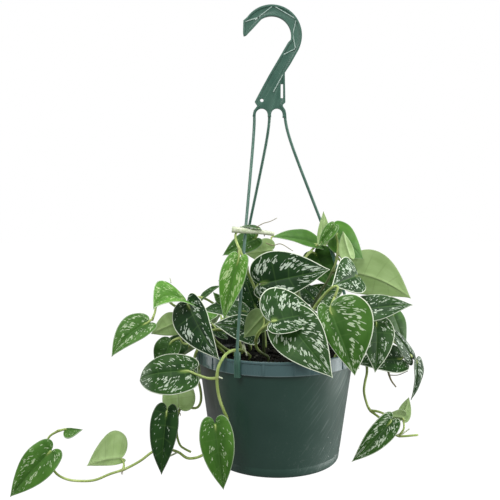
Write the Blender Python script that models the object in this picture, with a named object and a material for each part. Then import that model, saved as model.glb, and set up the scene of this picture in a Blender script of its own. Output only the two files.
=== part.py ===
"""Satin pothos growing in a plastic hanging pot, with its clip-on hanger.

The plant is a set of leafy stems, one object for each, that stand in holes in the soil. Every leaf
is a thin blade with its heart-shaped outline, joined by its stalk to the stem that it grows from.
Lengths are in millimetres up to make_object, which turns them into metres. The origin is the inside
top of the hook, where the object hangs, and the front of the pot is -Y.
"""
import math
import random

import bmesh
import bpy
from mathutils import Matrix, Vector

# The pot, a tapered bucket under a straight ribbed band
POT_AXIS_X = 5.1
POT_BOTTOM_Z = -438.9
POT_FOOT_RADIUS = 63.4
POT_NECK_RADIUS = 77.2
POT_BAND_RADIUS = 79.7
BAND_BOTTOM_Z = -339.6
BAND_TOP_Z = -326.1
POT_WALL = 1.7
FOOT_ROUND = 3.0
LIP_HEIGHT = 2.0
LIP_OVERHANG = 0.8
BAND_RIBS = 18
RIB_WIDTH = 1.8
RIB_PROUD = 0.7
DRAIN_HOLES = 6
DRAIN_RING_RADIUS = 42.0
DRAIN_RADIUS = 4.0
POT_SIDES = 40

# The soil fills the pot to a little under its lip
GAP = 0.3
SOIL_EDGE_DROP = 9.0
SOIL_MOUND = 5.0
SOIL_LUMPS = 0.9
SOIL_RINGS = (0.0, 22.0, 44.0, 63.0)
SOIL_SIDES = 20
ROOT_DEPTH = 10.0
ROOT_RISE = 4.0

# The hanger, one moulding: a flat hook, three strands and three clips
PLATE_THICKNESS = 4.6
HOOK_CENTRE = (0.5, -19.2)
HOOK_OUTER = 29.8
HOOK_INNER = 19.2
STRAND_RADIUS = 1.75
STRAND_SIDES = 6
STRAND_STEP = 20.0
CLIP_ANGLES = (-27.0, 93.0, 213.0)
CLIP_WIDTH = 6.6
CLIP_HEIGHT = 23.0
CLIP_DEPTH = 2.4
CLIP_TOOTH = 1.5

# The eye from which the plant was laid out. A place on the plant is written (right, down, toward):
# where the eye sees it on an upright 500 mm sheet, and how far it stands in front of the pot's axis.
EYE = Vector((-20.7, -676.0, -191.2))
EYE_TILT = math.radians(3.3)
SHEET_DISTANCE = 676.0
SHEET_MIDDLE = 250.0

# Stems and blades
STEM_RADIUS = 1.5
STALK_RADIUS = 1.1
BLADE_THICKNESS = 0.8
STEM_SIDES = 5
STALK_SIDES = 3
STEM_STEP = 13.0
STALK_STEP = 12.0
BLADE_ROWS = 8

MM = 0.001


def sight(right, down, toward):
    """The point, in millimetres, that the eye sees at this place on the sheet."""
    across = (right - SHEET_MIDDLE) / SHEET_DISTANCE
    above = (SHEET_MIDDLE - down) / SHEET_DISTANCE
    ray = Vector((
        across,
        math.cos(EYE_TILT) + above * math.sin(EYE_TILT),
        above * math.cos(EYE_TILT) - math.sin(EYE_TILT),
    ))
    return EYE + ray * ((-toward - EYE.y) / ray.y)


def clear_scene():
    for old in list(bpy.data.objects):
        bpy.data.objects.remove(old, do_unlink=True)


def material(name, colour, roughness, metallic=0.0):
    made = bpy.data.materials.get(name)
    if made is None:
        made = bpy.data.materials.new(name)
        made.use_nodes = True
        shader = made.node_tree.nodes["Principled BSDF"]
        shader.inputs["Base Color"].default_value = (*colour, 1.0)
        shader.inputs["Roughness"].default_value = roughness
        shader.inputs["Metallic"].default_value = metallic
    return made


def make_object(name, vertices, faces, look):
    """An object from points in millimetres, with its faces turned outward."""
    mesh = bpy.data.meshes.new(name)
    mesh.from_pydata([Vector(v) * MM for v in vertices], [], faces)
    made = bpy.data.objects.new(name, mesh)
    bpy.context.scene.collection.objects.link(made)
    mesh.materials.append(look)
    work = bmesh.new()
    work.from_mesh(mesh)
    bmesh.ops.recalc_face_normals(work, faces=work.faces)
    work.to_mesh(mesh)
    work.free()
    return made


def apply_modifiers(target):
    """Replaces the object's mesh by its evaluated one."""
    graph = bpy.context.evaluated_depsgraph_get()
    mesh = bpy.data.meshes.new_from_object(target.evaluated_get(graph))
    target.modifiers.clear()
    target.data = mesh


def join_by_union(target, pieces, solver="EXACT"):
    """Joins the pieces to the target in one Boolean union on a collection, and removes them."""
    group = bpy.data.collections.new(target.name + "_pieces")
    for piece in pieces:
        bpy.context.scene.collection.objects.unlink(piece)
        group.objects.link(piece)
    bpy.context.scene.collection.children.link(group)
    union = target.modifiers.new("join", "BOOLEAN")
    union.operation = "UNION"
    union.operand_type = "COLLECTION"
    union.collection = group
    union.solver = solver
    apply_modifiers(target)
    for piece in pieces:
        bpy.data.objects.remove(piece, do_unlink=True)
    bpy.data.collections.remove(group)


def cut_away(target, cutters):
    """Cuts all the cutters from the target in one Boolean difference, and removes them."""
    group = bpy.data.collections.new(target.name + "_cutters")
    for cutter in cutters:
        bpy.context.scene.collection.objects.unlink(cutter)
        group.objects.link(cutter)
    bpy.context.scene.collection.children.link(group)
    cut = target.modifiers.new("cut", "BOOLEAN")
    cut.operation = "DIFFERENCE"
    cut.operand_type = "COLLECTION"
    cut.collection = group
    apply_modifiers(target)
    for cutter in cutters:
        bpy.data.objects.remove(cutter, do_unlink=True)
    bpy.data.collections.remove(group)


def keep_largest_body(target):
    """Drops loose scraps and fills any hollow that fusing has sealed."""
    work = bmesh.new()
    work.from_mesh(target.data)
    unseen = set(work.faces)
    bodies = []
    while unseen:
        start = unseen.pop()
        body = {start}
        edge_of_search = [start]
        while edge_of_search:
            face = edge_of_search.pop()
            for edge in face.edges:
                for other in edge.link_faces:
                    if other in unseen:
                        unseen.discard(other)
                        body.add(other)
                        edge_of_search.append(other)
        bodies.append(body)
    largest = max(bodies, key=len)
    for body in bodies:
        if body is not largest:
            bmesh.ops.delete(work, geom=list(body), context="FACES")
    loose = [v for v in work.verts if not v.link_faces]
    bmesh.ops.delete(work, geom=loose, context="VERTS")
    work.to_mesh(target.data)
    work.free()


def smooth_path(points, steps):
    """A Catmull-Rom curve through the points, with the given steps between neighbours."""
    if len(points) < 3:
        return [points[0].lerp(points[-1], i / steps) for i in range(steps + 1)]
    ends = [points[0] * 2 - points[1], *points, points[-1] * 2 - points[-2]]
    curve = []
    for a, b, c, d in zip(ends, ends[1:], ends[2:], ends[3:]):
        for i in range(steps):
            t = i / steps
            curve.append(0.5 * (
                2 * b + (c - a) * t + (2 * a - 5 * b + 4 * c - d) * t * t
                + (3 * b - a - 3 * c + d) * t * t * t
            ))
    curve.append(points[-1])
    return curve


def spaced_path(points, spacing):
    """The smooth curve through the points, read off at about equal distances."""
    fine = smooth_path(points, 12)
    reach = [0.0]
    for a, b in zip(fine, fine[1:]):
        reach.append(reach[-1] + (b - a).length)
    count = max(2, round(reach[-1] / spacing))
    path = []
    k = 0
    for i in range(count + 1):
        goal = reach[-1] * i / count
        while k < len(fine) - 2 and reach[k + 1] < goal:
            k += 1
        part = (goal - reach[k]) / max(1e-9, reach[k + 1] - reach[k])
        path.append(fine[k].lerp(fine[k + 1], min(1.0, part)))
    return path


def tube(name, path, radii, sides, look):
    """A closed tube along a path; radii gives its radius at each point."""
    vertices = []
    faces = []
    previous = None
    for i, point in enumerate(path):
        before = path[max(0, i - 1)]
        after = path[min(len(path) - 1, i + 1)]
        heading = (after - before).normalized()
        if previous is None:
            helper = Vector((1, 0, 0)) if abs(heading.x) < 0.8 else Vector((0, 1, 0))
            previous = heading.cross(helper).normalized()
        side = (previous - heading * previous.dot(heading)).normalized()
        other = heading.cross(side)
        previous = side
        for k in range(sides):
            turn = 2 * math.pi * k / sides
            vertices.append(point + (side * math.cos(turn) + other * math.sin(turn)) * radii[i])
    for i in range(len(path) - 1):
        for k in range(sides):
            here = i * sides + k
            beside = i * sides + (k + 1) % sides
            faces.append((here, beside, beside + sides, here + sides))
    faces.append(tuple(reversed(range(sides))))
    faces.append(tuple(range((len(path) - 1) * sides, len(path) * sides)))
    return make_object(name, vertices, faces, look)


# The leaf's outline on one side, in parts of its length: along the midrib from the stalk (0) to
# the tip (1), and out from the midrib. The lobes reach back past the stalk.
OUTLINE = (
    (0.0, 0.0), (-0.07, 0.035), (-0.115, 0.11), (-0.115, 0.2), (-0.06, 0.29), (0.06, 0.352),
    (0.21, 0.375), (0.38, 0.35), (0.55, 0.285), (0.71, 0.195), (0.85, 0.1), (0.94, 0.035),
    (1.0, 0.0),
)
FULL_WIDTH = 0.75
FAN_SHARE = 0.34

# How a blade's margin waves and drops, in parts of its length
RIPPLES = 1.4
RIPPLE_LAG = 1.9
RIPPLE_HEIGHT = 0.014
MARGIN_DROP = 0.012
PHASE_STEP = 1.7


def outline_point(t):
    """The margin at t, from the notch at the stalk (0) to the tip (1)."""
    place = min(t, 0.9999) * (len(OUTLINE) - 1)
    k = int(place)
    t = place - k
    a = OUTLINE[max(0, k - 1)]
    b = OUTLINE[k]
    c = OUTLINE[k + 1]
    d = OUTLINE[min(len(OUTLINE) - 1, k + 2)]
    return tuple(
        0.5 * (2 * b[n] + (c[n] - a[n]) * t + (2 * a[n] - 5 * b[n] + 4 * c[n] - d[n]) * t * t
               + (3 * b[n] - a[n] - 3 * c[n] + d[n]) * t * t * t)
        for n in (0, 1)
    )


def midrib_point(t):
    """Where the side vein that ends on the margin at t leaves the midrib."""
    return 0.0 if t < FAN_SHARE else ((t - FAN_SHARE) / (1 - FAN_SHARE)) ** 1.1


class Leaf:
    """One leaf: base and tip are places in millimetres, face is the way its upper side looks."""

    def __init__(self, base, tip, face, width=0.72, fold=0.12, arch=0.06, skew=0.0, bend=0.0,
                 phase=0.0):
        self.base = base
        self.length = (tip - base).length
        self.along = (tip - base).normalized()
        self.side = face.cross(self.along).normalized()
        self.up = self.along.cross(self.side)
        self.width = width / FULL_WIDTH
        self.fold = fold
        self.arch = arch
        self.skew = skew
        self.bend = bend
        self.phase = phase

    def surface(self, a, s):
        """The middle of the blade at a along the midrib and s out from it, in parts of the length."""
        out = s * self.width * (1 + (self.skew if s > 0 else -self.skew))
        share = abs(s) / (FULL_WIDTH / 2)
        ripple = math.sin(2 * math.pi * RIPPLES * a + self.phase + (RIPPLE_LAG if s > 0 else 0.0))
        rise = abs(out) * math.sin(self.fold) + share * share * (RIPPLE_HEIGHT * ripple - MARGIN_DROP)
        rise += self.arch * 4 * a * (1 - a)
        out = out * math.cos(self.fold) + self.bend * 4 * a * (1 - a)
        return self.base + (self.along * a + self.side * out + self.up * rise) * self.length

    def normal(self, a, s):
        step = 0.004
        if s == 0.0:
            right = self.surface(a, step) - self.surface(a, 0.0)
            left = self.surface(a, 0.0) - self.surface(a, -step)
            across = right + left
        else:
            across = self.surface(a, s + step) - self.surface(a, s - step)
        return (self.surface(a + step, s) - self.surface(a - step, s)).cross(across).normalized()

    def blade(self, name, rows, columns, look):
        """A closed blade, split into the same triangles on both faces."""
        grid = {}
        triangles = []
        keys = []

        def corner(a, s):
            key = (round(a, 5), round(s, 5))
            if key not in grid:
                grid[key] = len(keys)
                keys.append(key)
            return grid[key]

        stops = [i / rows for i in range(rows + 1)]
        for side in (1, -1):
            lines = []
            for t in stops:
                margin = outline_point(t)
                root = midrib_point(t)
                lines.append([
                    corner(root + (margin[0] - root) * c / columns, side * margin[1] * c / columns)
                    for c in range(columns + 1)
                ])
            for first, second in zip(lines, lines[1:]):
                for c in range(columns):
                    for one in (
                        (first[c], first[c + 1], second[c + 1]),
                        (first[c], second[c + 1], second[c]),
                    ):
                        if len(set(one)) == 3:
                            triangles.append(one if side > 0 else one[::-1])
        points = [self.surface(a, s) for a, s in keys]
        normals = [self.normal(a, s) * (BLADE_THICKNESS / 2) for a, s in keys]
        count = len(points)
        vertices = [p + n for p, n in zip(points, normals)] + [p - n for p, n in zip(points, normals)]
        faces = list(triangles) + [tuple(i + count for i in reversed(one)) for one in triangles]
        edges = set()
        for one in triangles:
            for i in range(3):
                edges.add((one[i], one[(i + 1) % 3]))
        for a, b in sorted(edges):
            if (b, a) not in edges:
                faces.append((b, a, a + count))
                faces.append((b, a + count, b + count))
        return make_object(name, vertices, faces, look)


def lathe(name, profile, sides, look, relief=None):
    """A turned body; the profile of (radius, height) runs from the axis to the axis."""
    vertices = []
    faces = []
    rings = []
    for radius, height in profile:
        if radius == 0.0:
            rings.append([len(vertices)])
            vertices.append(Vector((POT_AXIS_X, 0, height)))
        else:
            rings.append(list(range(len(vertices), len(vertices) + sides)))
            for k in range(sides):
                turn = 2 * math.pi * k / sides
                point = Vector((radius * math.cos(turn), radius * math.sin(turn), height))
                vertices.append(point + Vector((POT_AXIS_X, 0, 0)))
    if relief:
        vertices = [relief(v) for v in vertices]
    for lower, upper in zip(rings, rings[1:]):
        for k in range(sides):
            corners = [
                lower[k % len(lower)], lower[(k + 1) % len(lower)],
                upper[(k + 1) % len(upper)], upper[k % len(upper)],
            ]
            faces.append(tuple(dict.fromkeys(corners)))
    return make_object(name, vertices, faces, look)


def box(name, size, place, turn, look):
    """A box of this size, centred on place and turned about the vertical."""
    x, y, z = (s / 2 for s in size)
    spin = Matrix.Rotation(turn, 3, "Z")
    corners = [
        place + spin @ Vector((sx * x, sy * y, sz * z))
        for sz in (-1, 1) for sy in (-1, 1) for sx in (-1, 1)
    ]
    faces = [(0, 1, 3, 2), (4, 6, 7, 5), (0, 4, 5, 1), (2, 3, 7, 6), (0, 2, 6, 4), (1, 5, 7, 3)]
    return make_object(name, corners, faces, look)


def around_pot(angle, radius, height):
    """A place by its angle from the front, turning toward +X, and its distance from the axis."""
    turn = math.radians(angle)
    return Vector((POT_AXIS_X + radius * math.sin(turn), -radius * math.cos(turn), height))


def wall_radius(height):
    """The outer radius of the pot's tapered wall at this height."""
    share = (height - POT_BOTTOM_Z) / (BAND_BOTTOM_Z - POT_BOTTOM_Z)
    return POT_FOOT_RADIUS + (POT_NECK_RADIUS - POT_FOOT_RADIUS) * share


def make_pot():
    look = material("pot_plastic", (0.022, 0.048, 0.042), 0.32)
    outer = [(0.0, POT_BOTTOM_Z)]
    for i in range(4):
        turn = math.radians(30 * i)
        height = POT_BOTTOM_Z + FOOT_ROUND * (1 - math.cos(turn))
        outer.append((wall_radius(height) - FOOT_ROUND * (1 - math.sin(turn)), height))
    outer += [
        (POT_NECK_RADIUS, BAND_BOTTOM_Z),
        (POT_BAND_RADIUS, BAND_BOTTOM_Z),
        (POT_BAND_RADIUS, BAND_TOP_Z - LIP_HEIGHT),
        (POT_BAND_RADIUS + LIP_OVERHANG, BAND_TOP_Z - LIP_HEIGHT),
        (POT_BAND_RADIUS + LIP_OVERHANG, BAND_TOP_Z),
    ]
    floor = POT_BOTTOM_Z + POT_WALL
    inner = [
        (POT_BAND_RADIUS - POT_WALL, BAND_TOP_Z),
        (POT_BAND_RADIUS - POT_WALL, BAND_BOTTOM_Z + POT_WALL),
        (wall_radius(BAND_BOTTOM_Z + POT_WALL) - POT_WALL, BAND_BOTTOM_Z + POT_WALL),
        (wall_radius(floor) - POT_WALL, floor),
        (0.0, floor),
    ]
    pot = lathe("pot", outer + inner, POT_SIDES, look)
    ribs = []
    rib_height = BAND_TOP_Z - LIP_HEIGHT - BAND_BOTTOM_Z
    for i in range(BAND_RIBS):
        angle = 360 / BAND_RIBS * (i + 0.5)
        place = around_pot(angle, POT_BAND_RADIUS, BAND_BOTTOM_Z + rib_height / 2 + 0.2)
        size = (RIB_WIDTH, 2 * RIB_PROUD, rib_height - 0.8)
        ribs.append(box(f"rib_{i}", size, place, math.radians(angle), look))
    join_by_union(pot, ribs)
    drains = []
    for i in range(DRAIN_HOLES):
        place = around_pot(60 * i + 30, DRAIN_RING_RADIUS, POT_BOTTOM_Z)
        path = [place - Vector((0, 0, 5)), place + Vector((0, 0, 5))]
        drains.append(tube(f"drain_{i}", path, [DRAIN_RADIUS] * 2, 10, look))
    cut_away(pot, drains)
    return pot


def soil_height(x, y):
    """The soil's surface: a low mound with shallow lumps."""
    share = min(1.0, math.hypot(x - POT_AXIS_X, y) / (POT_NECK_RADIUS - POT_WALL))
    lumps = math.sin(0.23 * x + 1.0) * math.cos(0.19 * y) + 0.6 * math.sin(0.41 * y + 0.3 * x)
    edge = BAND_TOP_Z - SOIL_EDGE_DROP - SOIL_MOUND
    return edge + SOIL_MOUND * (1 - share * share) + SOIL_LUMPS * lumps * (1 - share ** 4)


def make_soil(roots):
    look = material("potting_soil", (0.035, 0.022, 0.014), 0.95)
    floor = POT_BOTTOM_Z + POT_WALL + GAP
    edge = BAND_TOP_Z - SOIL_EDGE_DROP - SOIL_MOUND
    side = POT_WALL + 1.5 * GAP
    profile = [(0.0, floor), (wall_radius(floor) - side, floor), (wall_radius(edge) - side, edge)]
    profile += [(radius, edge + 1.0) for radius in reversed(SOIL_RINGS)]

    def relief(point):
        if point.z <= edge:
            return point
        return Vector((point.x, point.y, soil_height(point.x, point.y)))

    soil = lathe("soil", profile, SOIL_SIDES, look, relief)
    holes = []
    for i, root in enumerate(roots):
        top = soil_height(root.x, root.y)
        path = [
            Vector((root.x, root.y, top - ROOT_DEPTH - GAP)),
            Vector((root.x, root.y, top + 2 * ROOT_RISE)),
        ]
        radius = (STEM_RADIUS + GAP) / math.cos(math.pi / 8)
        holes.append(tube(f"hole_{i}", path, [radius] * 2, 8, look))
    cut_away(soil, holes)
    return soil


# The hook plate's outline below its ring, as (across, height) from the hook's inside top: the outer
# side down the back of the shank, and the inner side down the front of it
SHANK_BACK = (
    (26.0, -34.5), (19.5, -46.0), (13.6, -55.0), (14.2, -84.0), (11.8, -86.0), (11.8, -88.0),
    (14.4, -92.0), (15.4, -99.0),
)
SHANK_FRONT = (
    (-18.2, -97.5), (-17.0, -92.0), (-13.4, -87.5), (-16.0, -83.5), (-11.0, -74.0), (-2.0, -57.5),
    (9.0, -39.0), (16.6, -26.0),
)
HOOK_OUTER_FROM, HOOK_OUTER_TO = 143.0, -28.0
HOOK_INNER_FROM, HOOK_INNER_TO = -15.0, 122.0
HOOK_TIP = ((-16.4, -10.2), (-24.6, -18.7), (-27.0, -19.4), (-27.6, -16.0), (-27.4, -5.0))
STRAND_ARCHES = ((-9.1, 11.8), (5.9, 11.4))
ARCH_FOOT_Z = -101.0
ARCH_TOP_Z = -90.0
PLATE_HOLE = (-9.0, -82.0, 1.7)
PLATE_SLOT = (9.6, 12.0, -80.0, -66.0)

# The strands, as (share of the way out to the clip, height)
STRAND_COURSE = (
    (0.0, -94.0), (0.02, -106.0), (0.08, -122.0), (0.2, -146.0), (0.36, -176.0), (0.53, -208.0),
    (0.7, -244.0), (0.85, -280.0), (0.96, -306.0), (1.0, -320.0), (1.0, -330.0),
)
STRAND_HEADS = (-16.2, 13.6, -1.2)


def hook_outline():
    """The plate's outline, once round, as (across, height)."""
    points = []
    for i in range(23):
        turn = math.radians(HOOK_OUTER_FROM + (HOOK_OUTER_TO - HOOK_OUTER_FROM) * i / 22)
        points.append((HOOK_CENTRE[0] + HOOK_OUTER * math.cos(turn),
                       HOOK_CENTRE[1] + HOOK_OUTER * math.sin(turn)))
    points += list(SHANK_BACK) + list(SHANK_FRONT)
    for i in range(1, 19):
        turn = math.radians(HOOK_INNER_FROM + (HOOK_INNER_TO - HOOK_INNER_FROM) * i / 18)
        points.append((HOOK_CENTRE[0] + HOOK_INNER * math.cos(turn),
                       HOOK_CENTRE[1] + HOOK_INNER * math.sin(turn)))
    return points + list(HOOK_TIP)


def upright_plate(name, outline, thickness, look):
    """A plate that faces the front, extruded from its outline."""
    count = len(outline)
    vertices = [Vector((x, -thickness / 2, z)) for x, z in outline]
    vertices += [Vector((x, thickness / 2, z)) for x, z in outline]
    faces = [tuple(range(count)), tuple(reversed(range(count, 2 * count)))]
    faces += [(i, i + count, (i + 1) % count + count, (i + 1) % count) for i in range(count)]
    made = make_object(name, vertices, faces, look)
    work = bmesh.new()
    work.from_mesh(made.data)
    bmesh.ops.triangulate(work, faces=[f for f in work.faces if len(f.verts) > 4])
    work.to_mesh(made.data)
    work.free()
    return made


def strand_path(head, angle):
    """A strand's centreline, from the foot of the hook plate to its clip on the rim."""
    start = Vector((head, 0, 0))
    end = around_pot(angle, POT_BAND_RADIUS + LIP_OVERHANG + GAP + STRAND_RADIUS, 0)
    return [start.lerp(end, share) + Vector((0, 0, height)) for share, height in STRAND_COURSE]


def make_hanger():
    look = material("hanger_plastic", (0.085, 0.175, 0.145), 0.38)
    hanger = upright_plate("hanger", hook_outline(), PLATE_THICKNESS, look)
    cutters = []
    for centre, width in STRAND_ARCHES:
        arch = [(centre + width / 2, ARCH_FOOT_Z), (centre - width / 2, ARCH_FOOT_Z)]
        for i in range(7):
            turn = math.radians(180 - 30 * i)
            arch.append((centre + width / 2 * math.cos(turn),
                         ARCH_TOP_Z - width / 2 + width / 2 * math.sin(turn)))
        cutters.append(upright_plate("arch", arch, 3 * PLATE_THICKNESS, look))
    x, z, radius = PLATE_HOLE
    ring = [(x + radius * math.cos(math.pi * i / 5), z + radius * math.sin(math.pi * i / 5))
            for i in range(10)]
    cutters.append(upright_plate("eyelet", ring, 3 * PLATE_THICKNESS, look))
    left, right, low, high = PLATE_SLOT
    slot = [(left, low), (right, low), (right, high), (left, high)]
    cutters.append(upright_plate("slot", slot, 3 * PLATE_THICKNESS, look))
    cut_away(hanger, cutters)
    pieces = []
    for head, angle in zip(STRAND_HEADS, CLIP_ANGLES):
        path = spaced_path(strand_path(head, angle), STRAND_STEP)
        radii = [STRAND_RADIUS] * len(path)
        pieces.append(tube("strand", path, radii, STRAND_SIDES, look))
        turn = math.radians(angle)
        radius = POT_BAND_RADIUS + LIP_OVERHANG + GAP + CLIP_DEPTH / 2
        foot = BAND_BOTTOM_Z - GAP - CLIP_TOOTH
        place = around_pot(angle, radius, foot + CLIP_HEIGHT / 2)
        pieces.append(box("clip", (CLIP_WIDTH, CLIP_DEPTH, CLIP_HEIGHT), place, turn, look))
        inner = POT_NECK_RADIUS + 2 * GAP
        outer = radius
        place = around_pot(angle, (inner + outer) / 2, foot + CLIP_TOOTH / 2)
        size = (CLIP_WIDTH - 1.0, outer - inner, CLIP_TOOTH)
        pieces.append(box("tooth", size, place, turn, look))
    join_by_union(hanger, pieces)
    keep_largest_body(hanger)
    return hanger


def leaf(base, tip, face, stalk=(), **form):
    """A leaf of a stem: base and tip on the sheet, face as (right, toward, up)."""
    return {"base": base, "tip": tip, "face": face, "stalk": stalk, "form": form}


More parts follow.
